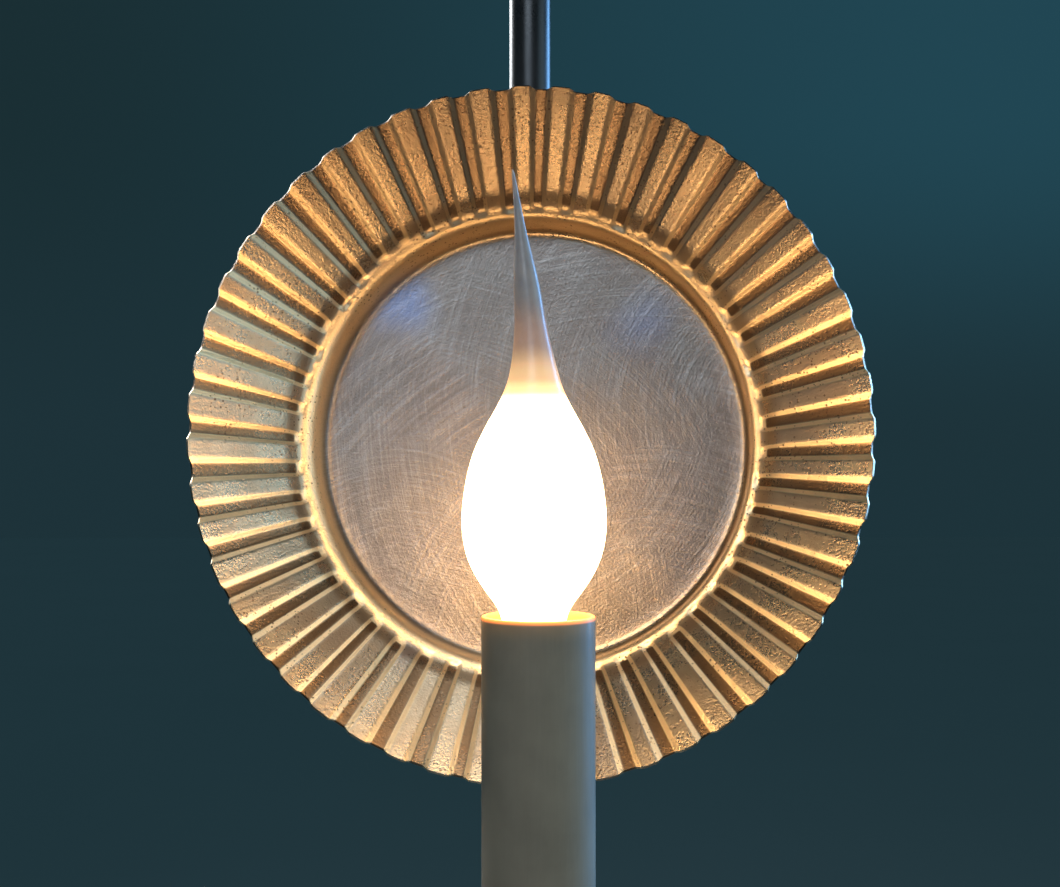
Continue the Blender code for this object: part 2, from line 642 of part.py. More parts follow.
def socket_bracket():
    """A steel foot under the lock nut, with a leg up to the socket's tail."""
    place = (0.0, CANDLE_Y, 0.0)
    top = FOOT_Z + BRACKET_THICKNESS
    foot = rod("socket_bracket", BRACKET_FOOT_RADIUS, FOOT_Z, top, STEEL, place, UP, 24)
    half = BRACKET_WIDTH / 2
    inner = CANDLE_Y + SOCKET_TAIL_RADIUS + GAP
    low = (-half, inner, FOOT_Z)
    high = (half, inner + BRACKET_THICKNESS, SOCKET_SHOULDER_Z - 1.0 * MM)
    add_shape(foot, block("bracket_leg", low, high, None))
    drill(foot, NIPPLE_HOLE, FOOT_Z - MARGIN, top + MARGIN, place)
    hole = (0.0, CANDLE_Y, TERMINAL_Z)
    drill(foot, BRACKET_SCREW_RADIUS + GAP, -inner + CANDLE_Y - 3.0 * MM, 0.0, hole, FORWARD)
    rim = SOCKET_TAIL_RADIUS + GAP + BRACKET_THICKNESS + GAP
    seat = (0.0, CANDLE_Y + rim, TERMINAL_Z)
    backward = (-math.pi / 2, 0.0, 0.0)
    size = BRACKET_SCREW_RADIUS, 4.0 * MM, 2.4 * MM, 1.2 * MM
    screw_with_head("bracket_screw", *size, STEEL, seat, backward)
    nut_top = FOOT_NUT_Z + FOOT_NUT_HEIGHT
    hex_nut("foot_lock_nut", FOOT_NUT_RADIUS, NIPPLE_HOLE, FOOT_NUT_Z, nut_top, STEEL, place)


def socket_body():
    """The insulating body: a wide head with the lamp's well, a narrow tail with the terminals."""
    place = (0.0, CANDLE_Y, 0.0)
    top = SOCKET_TOP_Z
    well = top - SOCKET_WELL_DEPTH
    tail = SOCKET_SHOULDER_Z - SOCKET_TAIL_HEIGHT
    profile = [
        (0.0, well),
        (SOCKET_WELL_RADIUS, well),
        (SOCKET_WELL_RADIUS, top),
        (SOCKET_RADIUS - 0.8 * MM, top),
        (SOCKET_RADIUS, top - 0.8 * MM),
        (SOCKET_RADIUS, SOCKET_SHOULDER_Z),
        (SOCKET_TAIL_RADIUS, SOCKET_SHOULDER_Z),
        (SOCKET_TAIL_RADIUS, tail),
        (0.0, tail),
    ]
    body = turned("socket_body", profile, PHENOLIC, place, UP, 24)
    hole = (0.0, CANDLE_Y, TERMINAL_Z)
    drill(body, BRACKET_SCREW_RADIUS + GAP, -SOCKET_TAIL_RADIUS - MARGIN, -1.5 * MM, hole, FORWARD)
    for side in (-1, 1):
        start, end = sorted((side * 1.5 * MM, side * (SOCKET_TAIL_RADIUS + MARGIN)))
        seat = (0.0, CANDLE_Y, TERMINAL_Z + TERMINAL_RAISE)
        drill(body, TERMINAL_SCREW_RADIUS + GAP, start, end, seat, RIGHT)


def socket_contacts():
    place = (0.0, CANDLE_Y, 0.0)
    outer = SOCKET_WELL_RADIUS - GAP
    bottom = SOCKET_TOP_Z - SOCKET_WELL_DEPTH + GAP
    pipe("socket_shell", outer, outer - SHELL_WALL, bottom, SOCKET_TOP_Z - 1.0 * MM, BRASS, place, UP, 24)
    rod("socket_contact", 3.2 * MM, bottom, bottom + 0.6 * MM, BRASS, place, UP, 20)
    turn = math.pi / 2
    for side, word in ((-1, "left"), (1, "right")):
        seat = (side * (SOCKET_TAIL_RADIUS + GAP), CANDLE_Y, TERMINAL_Z + TERMINAL_RAISE)
        name = f"terminal_screw_{word}"
        size = TERMINAL_SCREW_RADIUS, 3.6 * MM, 2.4 * MM, 1.3 * MM
        screw_with_head(name, *size, BRASS, seat, (0.0, side * turn, 0.0))


# Lamp


def flame_outline(inset):
    """The lamp's outer profile above the sleeve's rim, tip to neck, drawn in by an inset."""
    stations = [
        (0.6, 90.0),
        (2.2, 73.0),
        (3.2, 62.0),
        (4.7, 52.0),
        (7.2, 45.0),
        (11.1, 38.0),
        (14.2, 29.0),
        (15.2, 20.0),
        (13.6, 11.0),
        (9.8, 4.6),
        (7.4, 1.0),
        (6.3, -3.5),
    ]
    scale = FLAME_RADIUS / (15.2 * MM)
    return [(radius * MM * scale - inset, SLEEVE_TOP_Z + height * MM) for radius, height in stations]


def silicone_coat():
    """The dipped coat: a skin over the glass that draws out above it into a long leaning tip."""
    inner_skin = COAT_WALL
    outer = [(0.0, SLEEVE_TOP_Z + FLAME_HEIGHT)] + flame_outline(0.0)
    foot = CAP_TOP_Z + GAP
    outer.append((CAP_RADIUS + COAT_FLARE, foot))
    inner = [point for point in flame_outline(inner_skin) if point[1] < SLEEVE_TOP_Z + 48.0 * MM]
    inner = [(0.0, SLEEVE_TOP_Z + 49.0 * MM)] + inner + [(CAP_RADIUS + COAT_FLARE - inner_skin, foot)]
    place = (0.0, CANDLE_Y, 0.0)
    coat = turned("silicone_coat", outer + inner[::-1], SILICONE, place, UP, 24)
    lean = FLAME_HEIGHT - LEAN_START
    for vert in real_mesh(coat).vertices:
        share = (vert.co.z - SLEEVE_TOP_Z - LEAN_START) / lean
        if share > 0.0:
            vert.co.x -= TIP_LEAN * share ** 1.3


def bulb_glass():
    """The blown envelope: a shell open at its neck, a clearance inside the coat."""
    skin = COAT_WALL + GAP
    outer = [point for point in flame_outline(skin) if point[1] < SLEEVE_TOP_Z + 42.0 * MM]
    top = SLEEVE_TOP_Z + GLASS_HEIGHT
    neck_bottom = CAP_BOTTOM_Z + 5.0 * MM
    neck = CAP_RADIUS - CAP_WALL - GAP
    outer = [(0.0, top)] + outer + [(neck, CAP_TOP_Z), (neck, neck_bottom)]
    inner = [(max(radius - GLASS_WALL, 0.0), height) for radius, height in outer[1:]]
    inner = [(0.0, top - 1.5 * MM)] + inner
    turned("bulb_glass", outer + inner[::-1], CLEAR_GLASS, (0.0, CANDLE_Y, 0.0), UP, 24)


def bulb_base():
    """The screw cap with its insulator and end contact."""
    place = (0.0, CANDLE_Y, 0.0)
    inner = CAP_RADIUS - CAP_WALL
    floor = CAP_BOTTOM_Z + CAP_WALL
    profile = [
        (CAP_RADIUS, CAP_TOP_Z),
        (CAP_RADIUS, CAP_BOTTOM_Z + 1.5 * MM),
        (CAP_RADIUS - 1.5 * MM, CAP_BOTTOM_Z),
        (2.6 * MM, CAP_BOTTOM_Z),
        (2.6 * MM, floor),
        (inner - 1.4 * MM, floor),
        (inner, CAP_BOTTOM_Z + 1.7 * MM),
        (inner, CAP_TOP_Z),
    ]
    turned("bulb_cap", profile, NICKEL, place, UP, 24, True)
    top = CAP_BOTTOM_Z - GAP
    bottom = top - INSULATOR_HEIGHT
    collar = [(4.2 * MM, top), (2.6 * MM, bottom), (0.9 * MM, bottom), (0.9 * MM, top)]
    turned("bulb_insulator", collar, PHENOLIC, place, UP, 24, True)
    tip = bottom - GAP
    rod("bulb_contact", 2.0 * MM, tip - TIP_HEIGHT, tip, NICKEL, place, UP, 20)


def bulb_inside():
    """The glass mount, the two filament supports and the filament's arch."""
    place = (0.0, CANDLE_Y, 0.0)
    mount_top = SLEEVE_TOP_Z + 6.0 * MM
    foot = CAP_BOTTOM_Z + 6.0 * MM
    mount = [
        (0.0, mount_top),
        (1.2 * MM, mount_top - 0.6 * MM),
        (1.6 * MM, foot + 8.0 * MM),
        (3.2 * MM, foot),
        (0.0, foot),
    ]
    turned("bulb_mount", mount, CLEAR_GLASS, place, UP, 20)
    spread = 3.4 * MM
    top = SLEEVE_TOP_Z + FLAME_CENTRE
    for side, word in ((-1, "left"), (1, "right")):
        points = [
            (side * (1.2 * MM + GAP + 0.5 * MM), CANDLE_Y, mount_top - 3.0 * MM),
            (side * (1.2 * MM + GAP + 0.6 * MM), CANDLE_Y, mount_top),
            (side * spread, CANDLE_Y, mount_top + 8.0 * MM),
            (side * spread, CANDLE_Y, top),
        ]
        route(f"filament_support_{word}", points, 0.3 * MM, NICKEL, 1)
    arch = []
    for step in range(10):
        angle = math.pi * (1.0 - step / 9)
        height = top + GAP + 0.4 * MM + 3.0 * MM * math.sin(angle)
        arch.append((spread * math.cos(angle), CANDLE_Y, height))
    route("filament", arch, 0.4 * MM, TUNGSTEN, 1)


# Reflector and knuckle


def flute_sink(phase, radius):
    """How far the rim is pressed back at a place in the flute's pitch (0 at a panel's middle)."""
    away = abs((phase + 0.5) % 1.0 - 0.5)
    groove = ease((away - 0.29) / 0.12)
    reach = ease((radius - FLUTE_START) / FLUTE_RUN_IN)
    share = (radius - FLUTE_START) / (REFLECTOR_RADIUS - FLUTE_START)
    return FLUTE_DEPTH * groove * reach * (0.65 + 0.35 * share)


def reflector(knuckle):
    """A fluted plate: flat well, steep wall, rounded shoulder and a flared rim pressed into flutes."""
    rise = RIM_HEIGHT - SHOULDER_HEIGHT
    run = REFLECTOR_RADIUS - SHOULDER_RADIUS
    profile = [(REFLECTOR_RADIUS, RIM_HEIGHT)]
    for share in (0.6, 0.13):
        profile.append((SHOULDER_RADIUS + run * share, SHOULDER_HEIGHT + rise * share))
    profile += [
        (SHOULDER_RADIUS - 0.9 * MM, SHOULDER_HEIGHT - 1.0 * MM),
        (WELL_RADIUS, 0.0),
        (0.0, 0.0),
    ]
    per_flute = 4
    plate = turned(
        "reflector", profile, AGED_TIN, (0.0, -PLATE_REACH, 0.0), FORWARD, FLUTES * per_flute, False, knuckle
    )
    phases = (-0.29, 0.29, 0.41, 0.59)
    pitch = 2.0 * math.pi / FLUTES
    for vert in real_mesh(plate).vertices:
        radius = math.hypot(vert.co.x, vert.co.y)
        step = round(math.atan2(vert.co.y, vert.co.x) / pitch * per_flute) % (FLUTES * per_flute)
        phase = phases[step % per_flute]
        angle = (step // per_flute + phase) * pitch
        if radius > WELL_RADIUS * 0.5:
            edge = ease((radius - FLUTE_START) / (REFLECTOR_RADIUS - FLUTE_START))
            vert.co.z -= flute_sink(phase, radius)
            radius += SCALLOP * edge * (1.0 if abs(phase) < 0.3 else -1.0)
            vert.co.x = radius * math.cos(angle)
            vert.co.y = radius * math.sin(angle)
        pressed = 1.0 - ease((radius - WELL_RADIUS) / (SHOULDER_RADIUS - WELL_RADIUS))
        vert.co.x += WELL_SHIFT * pressed
        vert.co.y *= REFLECTOR_OVALITY
    wall = plate.modifiers.new("sheet", "SOLIDIFY")
    wall.thickness = REFLECTOR_WALL
    wall.offset = 1.0
    for height in (-RIVET_OFFSET, RIVET_OFFSET):
        place = (0.0, -PLATE_REACH, height)
        drill(plate, RIVET_RADIUS + GAP, -3.0 * MM, 3.0 * MM, place, FORWARD, 16, knuckle)


def reflector_bracket(knuckle):
    """A clevis riveted to the reflector's back: a base plate and two ears on the tilt screw."""
    front = -PLATE_REACH + REFLECTOR_WALL + GAP
    back = front + BASE_THICKNESS
    half = BASE_WIDTH / 2
    tall = BASE_HEIGHT / 2
    base = block("reflector_bracket", (-half, front, -tall), (half, back, tall), BLACK_ENAMEL, knuckle)
    inner = LUG_WIDTH / 2 + GAP
    for side in (-1, 1):
        start, end = sorted((side * inner, side * (inner + EAR_THICKNESS)))
        low = (start + EYE_STEP, front + 0.4 * MM, -EAR_RADIUS + EYE_STEP)
        high = (end - EYE_STEP, 0.0, EAR_RADIUS - EYE_STEP)
        add_shape(base, block(f"ear_arm_{side}", low, high, None, knuckle))
        add_shape(base, rod(f"ear_{side}", EAR_RADIUS, start, end, None, UP, RIGHT, 24, knuckle))
    drill(base, TILT_SCREW_RADIUS + GAP, -2.0 * inner, 2.0 * inner, UP, RIGHT, 20, knuckle)
    for word, height in (("lower", -RIVET_OFFSET), ("upper", RIVET_OFFSET)):
        drill(base, RIVET_RADIUS + GAP, 0.0, 2.0 * PLATE_REACH, (0.0, 0.0, height), FORWARD, 16, knuckle)
        rivet(word, height, back, knuckle)


def rivet(word, height, back, knuckle):
    """A dome head on the reflector's face and a flat clinch behind the bracket."""
    face = PLATE_REACH + GAP
    clinch = -back - GAP
    head = RIVET_HEAD_RADIUS
    tail = RIVET_TAIL_RADIUS
    profile = [
        (0.0, face + RIVET_HEAD_HEIGHT),
        (head * 0.6, face + RIVET_HEAD_HEIGHT * 0.85),
        (head, face + 0.3 * MM),
        (head, face),
        (RIVET_RADIUS, face),
        (RIVET_RADIUS, clinch),
        (tail, clinch),
        (tail, clinch - RIVET_TAIL_HEIGHT),
        (0.0, clinch - RIVET_TAIL_HEIGHT),
    ]
    turned(f"reflector_rivet_{word}", profile, STEEL, (0.0, 0.0, height), FORWARD, 20, False, knuckle)


def clamp_half(name, side):
    """Half a saddle round the stem, with a flange each way for the clamp screws."""
    place = (0.0, STEM_Y, PIN_Z)
    half_height = CLAMP_HEIGHT / 2
    body = rod(name, CLAMP_RADIUS, -half_height, half_height, BLACK_ENAMEL, place, UP, 32)
    near = side * GAP
    far = side * (GAP + FLANGE_THICKNESS)
    start, end = sorted((STEM_Y - side * 1.0 * MM, STEM_Y + far))
    low = (-FLANGE_REACH, start, PIN_Z - half_height + 2.0 * MM)
    high = (FLANGE_REACH, end, PIN_Z + half_height - 2.0 * MM)
    add_shape(body, block(f"{name}_flange", low, high, None))
    if side < 0:
        front_lug(body)
    start, end = sorted((STEM_Y + near, STEM_Y - side * 20.0 * MM))
    beyond = FLANGE_REACH + 5.0 * MM
    low = (-beyond, start, PIN_Z - CLAMP_HEIGHT)
    high = (beyond, end, PIN_Z + CLAMP_HEIGHT)
    cut(body, block(f"{name}_split", low, high, None))
    drill(body, TUBE_SOCKET, -CLAMP_HEIGHT, CLAMP_HEIGHT, place, UP, 24)
    for across in (-CLAMP_SCREW_X, CLAMP_SCREW_X):
        drill(body, CLAMP_SCREW_RADIUS + GAP, -9.0 * MM, 9.0 * MM, (across, STEM_Y, PIN_Z), FORWARD, 16)


def front_lug(body):
    """The lug on the front saddle that the reflector's ears straddle."""
    half = LUG_WIDTH / 2
    waist = half - EYE_STEP
    tall = LUG_RADIUS - EYE_STEP
    low = (-waist, PIN_Y, PIN_Z - tall)
    high = (waist, STEM_Y - CLAMP_RADIUS + 1.5 * MM, PIN_Z + tall)
    pivot = (0.0, PIN_Y, PIN_Z)
    add_shape(body, block("lug_arm", low, high, None))
    add_shape(body, rod("lug_end", LUG_RADIUS, -half, half, None, pivot, RIGHT, 24))
    drill(body, TILT_SCREW_RADIUS + GAP, -2.0 * half, 2.0 * half, pivot, RIGHT)


def clamp_fasteners():
    seat = FLANGE_THICKNESS + 2.0 * GAP
    for side, word in ((-1, "left"), (1, "right")):
        across = side * CLAMP_SCREW_X
        head = (across, STEM_Y - seat, PIN_Z)
        length = 2.0 * seat + 3.6 * MM
        size = CLAMP_SCREW_RADIUS, length, CLAMP_HEAD_RADIUS, SCREW_HEAD_HEIGHT
        screw_with_head(f"clamp_screw_{word}", *size, STEEL, head, FORWARD)
        nut = (across, STEM_Y, PIN_Z)
        bore = CLAMP_SCREW_RADIUS + GAP
        end = -seat - CLAMP_NUT_HEIGHT
        hex_nut(f"clamp_nut_{word}", CLAMP_NUT_RADIUS, bore, end, -seat, STEEL, nut, FORWARD)


def tilt_fasteners():
    """The tilt screw through ears and lug, and the thumb nut that sets its friction."""
    outside = LUG_WIDTH / 2 + GAP + EAR_THICKNESS + GAP
    nut_end = outside + THUMB_NUT_WIDTH
    seat = (-outside, PIN_Y, PIN_Z)
    left = (0.0, -math.pi / 2, 0.0)
    length = outside + nut_end + 0.8 * MM
    size = TILT_SCREW_RADIUS, length, TILT_HEAD_RADIUS, SCREW_HEAD_HEIGHT
    screw_with_head("tilt_screw", *size, STEEL, seat, left)
    chamfer = 0.6 * MM
    bore = TILT_SCREW_RADIUS + GAP
    profile = [
        (THUMB_NUT_RADIUS - chamfer, nut_end),
        (THUMB_NUT_RADIUS, nut_end - chamfer),
        (THUMB_NUT_RADIUS, outside + 2.4 * MM),
        (THUMB_NUT_RADIUS - THUMB_NUT_NECK, outside + 1.8 * MM),
        (THUMB_NUT_RADIUS - THUMB_NUT_NECK, outside),
        (bore, outside),
        (bore, nut_end),
    ]
    turned("thumb_nut", profile, BLACK_ENAMEL, (0.0, PIN_Y, PIN_Z), RIGHT, 24, True)


# Wires


def wire_points(side):
    """One lead from its terminal down the sleeve, round the arm, up the stem and into the canopy."""
    x = side * WIRE_OFFSET
    outer = side * (SOCKET_TAIL_RADIUS + 1.4 * MM)
    top = TERMINAL_Z - 2.0 * MM
    start = SOCKET_SHOULDER_Z - SOCKET_TAIL_HEIGHT - 8.0 * MM
    end = NIPPLE_TOP_Z + 3.0 * MM
    points = [(outer, CANDLE_Y, top)]
    steps = 8
    for step in range(steps + 1):
        share = step / steps
        points.append((outer + (x - outer) * ease(share), CANDLE_Y, start + (end - start) * share))
    middle = STEM_Y - BEND_RADIUS
    points += arc(middle, BEND_Z, BEND_RADIUS, 180.0, 360.0, BEND_STEPS, x)
    turn = 8.0 * MM
    points += arc(STEM_Y + turn, -turn, turn, 180.0, 90.0, 6, x)
    place_x, place_y, place_z = WIRE_NUT_PLACE
    mouth = -CANOPY_DEPTH + CANOPY_WALL + 2.0 * GAP + WASHER_HEIGHT + LOCKNUT_HEIGHT + NIPPLE_TAIL
    points.append((x, mouth, 0.0))
    points += [
        (x + side * 0.5 * MM, mouth + 2.4 * MM, 0.4 * MM),
        (x + side * 1.8 * MM, mouth + 4.2 * MM, 2.0 * MM),
        (x + side * 4.2 * MM, mouth + 5.0 * MM, 4.8 * MM),
        (side * (place_x - 3.6 * MM), place_y + 1.6 * MM, place_z - 10.0 * MM),
        (side * (place_x - 0.8 * MM), place_y + 0.3 * MM, place_z - 5.0 * MM),
        (side * place_x, place_y, place_z - 1.0 * MM),
        (side * place_x, place_y, place_z + 8.0 * MM),
    ]
    return points


def wires():
    for side, word, finish in ((-1, "left", BLACK_WIRE), (1, "right", WHITE_WIRE)):
        route(f"lead_wire_{word}", wire_points(side), WIRE_RADIUS, finish, 2)
        x, y, z = WIRE_NUT_PLACE
        bore = WIRE_RADIUS + GAP
        profile = [
            (0.0, WIRE_NUT_LENGTH),
            (WIRE_NUT_RADIUS * 0.55, WIRE_NUT_LENGTH),
            (WIRE_NUT_RADIUS * 0.7, WIRE_NUT_LENGTH - 1.0 * MM),
            (WIRE_NUT_RADIUS, 3.0 * MM),
            (WIRE_NUT_RADIUS, 0.0),
            (bore, 0.0),
            (bore, 8.6 * MM),
            (0.0, 8.6 * MM),
        ]
        turned(f"wire_nut_{word}", profile, ORANGE_PLASTIC, (side * x, y, z), UP, 20)


def main():
    mounting_strap()
    strap_fasteners()
    canopy()
    canopy_fittings()
    elbow()
    stem()
    candle_arm()
    arm_end()
    drip_pan()
    candle_cup()
    candle_sleeve()
    socket_bracket()
    socket_body()
    socket_contacts()
    silicone_coat()
    bulb_glass()
    bulb_base()
    bulb_inside()
    knuckle = bpy.data.objects.new("reflector_tilt_axis", None)
    knuckle.location = (0.0, PIN_Y, PIN_Z)
    knuckle.rotation_euler = (-REFLECTOR_LEAN, 0.0, 0.0)
    PARTS.objects.link(knuckle)
    reflector(knuckle)
    reflector_bracket(knuckle)
    clamp_half("clamp_front", -1)
    clamp_half("clamp_rear", 1)
    clamp_fasteners()
    tilt_fasteners()
    wires()
    bpy.context.view_layer.update()
    for obj in PARTS.objects:
        if obj.type == "MESH":
            shade_round(obj)


main()
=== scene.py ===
"""Wall sconce: a lit electric candle in front of a fluted tin plate, with tinted soft lights."""

import logging
import math
import random
from dataclasses import dataclass, field
from enum import Enum
from typing import Callable, NamedTuple, Optional, Sequence

import bpy
from mathutils import Matrix, Vector, noise


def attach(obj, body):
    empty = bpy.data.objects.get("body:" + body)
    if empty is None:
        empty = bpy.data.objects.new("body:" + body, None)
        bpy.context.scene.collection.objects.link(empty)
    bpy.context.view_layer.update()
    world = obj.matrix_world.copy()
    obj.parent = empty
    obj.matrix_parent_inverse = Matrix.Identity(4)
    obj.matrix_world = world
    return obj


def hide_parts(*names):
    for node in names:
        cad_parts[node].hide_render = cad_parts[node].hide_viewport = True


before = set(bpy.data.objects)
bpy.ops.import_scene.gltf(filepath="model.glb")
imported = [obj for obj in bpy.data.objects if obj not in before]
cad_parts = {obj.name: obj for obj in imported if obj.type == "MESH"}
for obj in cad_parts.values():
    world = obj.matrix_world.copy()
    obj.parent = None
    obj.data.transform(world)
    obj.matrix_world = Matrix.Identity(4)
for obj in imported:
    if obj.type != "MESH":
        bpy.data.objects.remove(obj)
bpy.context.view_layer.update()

MM = 0.001
TURN = 2.0 * math.pi
MERGE = 1e-6
NIPPLE_HOLE = 5.15
TUBE_SOCKET = 5.85

Point = tuple[float, float, float]
Colour = tuple[float, float, float]
Profile = Sequence[tuple[float, float]]

log = logging.getLogger("sconce")


class Body(Enum):
    """The rigid bodies that pieces ride on."""

    FRAME = "frame"
    PLATE = "reflector_plate"
    NUT = "tilt_nut"
    SLEEVE = "sleeve"
    LAMP = "lamp"


class Axis(Enum):
    """The way that a turned piece's own Z points once it is in place."""

    UP = (0.0, 0.0, 0.0)
    FORWARD = (math.pi / 2, 0.0, 0.0)
    RIGHT = (0.0, math.pi / 2, 0.0)
    LEFT = (0.0, -math.pi / 2, 0.0)

    def pose(self, place: Point) -> Matrix:
        """The matrix that turns a piece this way and puts it in place.

        Args:
            place: where the piece's own origin goes, in millimetres.

        Returns:
            The matrix, in metres.
        """
        turn = Matrix.Rotation(self.value[1], 4, "Y") @ Matrix.Rotation(self.value[0], 4, "X")
        return Matrix.Translation(Vector(place) * MM) @ turn


# Hand tools


def ease(share: float) -> float:
    """A smooth step.

    Args:
        share: how far along, held to 0 and 1.

    Returns:
        The eased share.
    """
    share = min(max(share, 0.0), 1.0)
    return share * share * (3.0 - 2.0 * share)


def clear_hands() -> None:
    """Leaves edit mode and deselects every object."""
    if bpy.context.object and bpy.context.object.mode != "OBJECT":
        bpy.ops.object.mode_set(mode="OBJECT")
    bpy.ops.object.select_all(action="DESELECT")


def take(obj: bpy.types.Object) -> None:
    """Makes one object the only selected and active one.

    Args:
        obj: the object to pick up.
    """
    clear_hands()
    obj.select_set(True)
    bpy.context.view_layer.objects.active = obj


def edit_all() -> None:
    """Enters edit mode with the whole mesh selected."""
    bpy.ops.object.mode_set(mode="EDIT")
    bpy.ops.mesh.select_all(action="SELECT")


def done_editing() -> None:
    """Goes back to object mode."""
    bpy.ops.object.mode_set(mode="OBJECT")


def settle(obj: bpy.types.Object, pose: Matrix) -> None:
    """Moves a mesh into place while its object stays at the origin.

    Args:
        obj: the piece.
        pose: where it goes, in metres.
    """
    take(obj)
    obj.matrix_world = pose
    bpy.ops.object.transform_apply(location=True, rotation=True, scale=True)


def finish_modifier(obj: bpy.types.Object, modifier: bpy.types.Modifier) -> None:
    """Applies one modifier.

    Args:
        obj: the piece that has it.
        modifier: the modifier to apply.
    """
    take(obj)
    bpy.ops.object.modifier_apply(modifier=modifier.name)


def soften_edges(obj: bpy.types.Object, width: float, segments: int = 2, angle: float = 32.0) -> None:
    """Rounds a piece's sharp edges.

    Args:
        obj: the piece.
        width: how wide the rounding is, in millimetres.
        segments: how many facets it has.
        angle: the sharpest angle left alone, in degrees.
    """
    bevel = obj.modifiers.new("rounding", "BEVEL")
    bevel.width = width * MM
    bevel.segments = segments
    bevel.limit_method = "ANGLE"
    bevel.angle_limit = math.radians(angle)
    bevel.use_clamp_overlap = True
    finish_modifier(obj, bevel)


def smooth(obj: bpy.types.Object, angle: float = 32.0) -> None:
    """Shades a piece smooth up to an angle.

    Args:
        obj: the piece.
        angle: edges sharper than this stay crisp, in degrees.
    """
    take(obj)
    bpy.ops.object.shade_smooth_by_angle(angle=math.radians(angle))


def carve(obj: bpy.types.Object, tool: bpy.types.Object) -> None:
    """Cuts one shape out of a piece and throws the shape away.

    Args:
        obj: the piece.
        tool: the shape that is cut out.
    """
    boolean = obj.modifiers.new("cut", "BOOLEAN")
    boolean.operation = "DIFFERENCE"
    boolean.solver = "EXACT"
    boolean.object = tool
    finish_modifier(obj, boolean)
    bpy.data.objects.remove(tool, do_unlink=True)


def lathe(name: str, profile: Profile, pose: Matrix, steps: int = 72, ring: bool = False) -> bpy.types.Object:
    """Draws a profile point by point and spins it about its own Z.

    Args:
        name: the piece's name.
        profile: (radius, height) points in millimetres, down the outer side.
        pose: where the piece goes.
        steps: how many facets go round.
        ring: whether the profile closes on itself instead of on the axis.

    Returns:
        The piece, in place.
    """
    clear_hands()
    bpy.ops.mesh.primitive_plane_add(size=MM, location=(0.0, 0.0, 0.0))
    obj = bpy.context.active_object
    obj.name = name
    edit_all()
    bpy.ops.mesh.merge(type="CENTER")
    points = list(profile) + ([profile[0]] if ring else [])
    bpy.ops.transform.translate(value=(points[0][0] * MM, 0.0, points[0][1] * MM))
    for before, after in zip(points, points[1:]):
        step = ((after[0] - before[0]) * MM, 0.0, (after[1] - before[1]) * MM)
        bpy.ops.mesh.extrude_region_move(TRANSFORM_OT_translate={"value": step})
    bpy.ops.mesh.select_all(action="SELECT")
    bpy.ops.mesh.remove_doubles(threshold=MERGE)
    bpy.ops.mesh.spin(steps=steps, angle=TURN, center=(0.0, 0.0, 0.0), axis=(0.0, 0.0, 1.0))
    bpy.ops.mesh.select_all(action="SELECT")
    bpy.ops.mesh.remove_doubles(threshold=MERGE)
    bpy.ops.mesh.normals_make_consistent(inside=False)
    done_editing()
    settle(obj, pose)
    return obj


def rib(obj: bpy.types.Object, ribs: int, depth: float, chosen: Callable[[float, float], bool]) -> None:
    """Presses ribs round a turned piece that is still at the origin.

    Args:
        obj: the piece.
        ribs: how many there are.
        depth: how deep they are, as a share of the radius.
        chosen: which points they take in, by radius and height in millimetres.
    """
    for vert in obj.data.vertices:
        if chosen(math.hypot(vert.co.x, vert.co.y) / MM, vert.co.z / MM):
            turn = math.atan2(vert.co.y, vert.co.x) * ribs
            factor = 1.0 - depth * (0.5 + 0.5 * math.cos(turn))
            vert.co.x *= factor
            vert.co.y *= factor


def bar(name: str, radius: float, start: float, end: float, pose: Matrix, sides: int = 48) -> bpy.types.Object:
    """A round or many-sided bar along its own Z.

    Args:
        name: the piece's name.
        radius: to its corners, in millimetres.
        start: its low end, in millimetres.
        end: its high end, in millimetres.
        pose: where the piece goes.
        sides: how many sides it has.

    Returns:
        The bar, in place.
    """
    clear_hands()
    middle = (0.0, 0.0, (start + end) / 2 * MM)
    bpy.ops.mesh.primitive_cylinder_add(
        vertices=sides, radius=radius * MM, depth=(end - start) * MM, location=middle
    )
    obj = bpy.context.active_object
    obj.name = name
    bpy.ops.object.transform_apply(location=True, rotation=True, scale=True)
    settle(obj, pose)
    return obj


def slab(name: str, low: Point, high: Point, pose: Matrix) -> bpy.types.Object:
    """A block between two corners.

    Args:
        name: the piece's name.
        low: its lowest corner, in millimetres.
        high: its highest corner, in millimetres.
        pose: where the piece goes.

    Returns:
        The block, in place.
    """
    clear_hands()
    bpy.ops.mesh.primitive_cube_add(size=1.0, location=(0.0, 0.0, 0.0))
    obj = bpy.context.active_object
    obj.name = name
    size = [(b - a) * MM for a, b in zip(low, high)]
    middle = [(a + b) / 2 * MM for a, b in zip(low, high)]
    obj.scale = size
    obj.location = middle
    bpy.ops.object.transform_apply(location=True, rotation=True, scale=True)
    settle(obj, pose)
    return obj


class Paint(NamedTuple):
    """A material and the slot that it fills."""

    slot: str
    material: bpy.types.Material


def keep(obj: bpy.types.Object, body: Body, paint: Paint, *nodes: str) -> None:
    """Gives a finished piece its material, its body and the CAD nodes it stands for.

    Args:
        obj: the piece.
        body: the body it rides on.
        paint: its material and slot.
        nodes: the CAD nodes it replaces.
    """
    obj.data.materials.clear()
    obj.data.materials.append(paint.material)
    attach(obj, body.value)
    if nodes:
        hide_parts(*nodes)
    log.info("%s: %d faces, on %s", obj.name, len(obj.data.polygons), body.value)


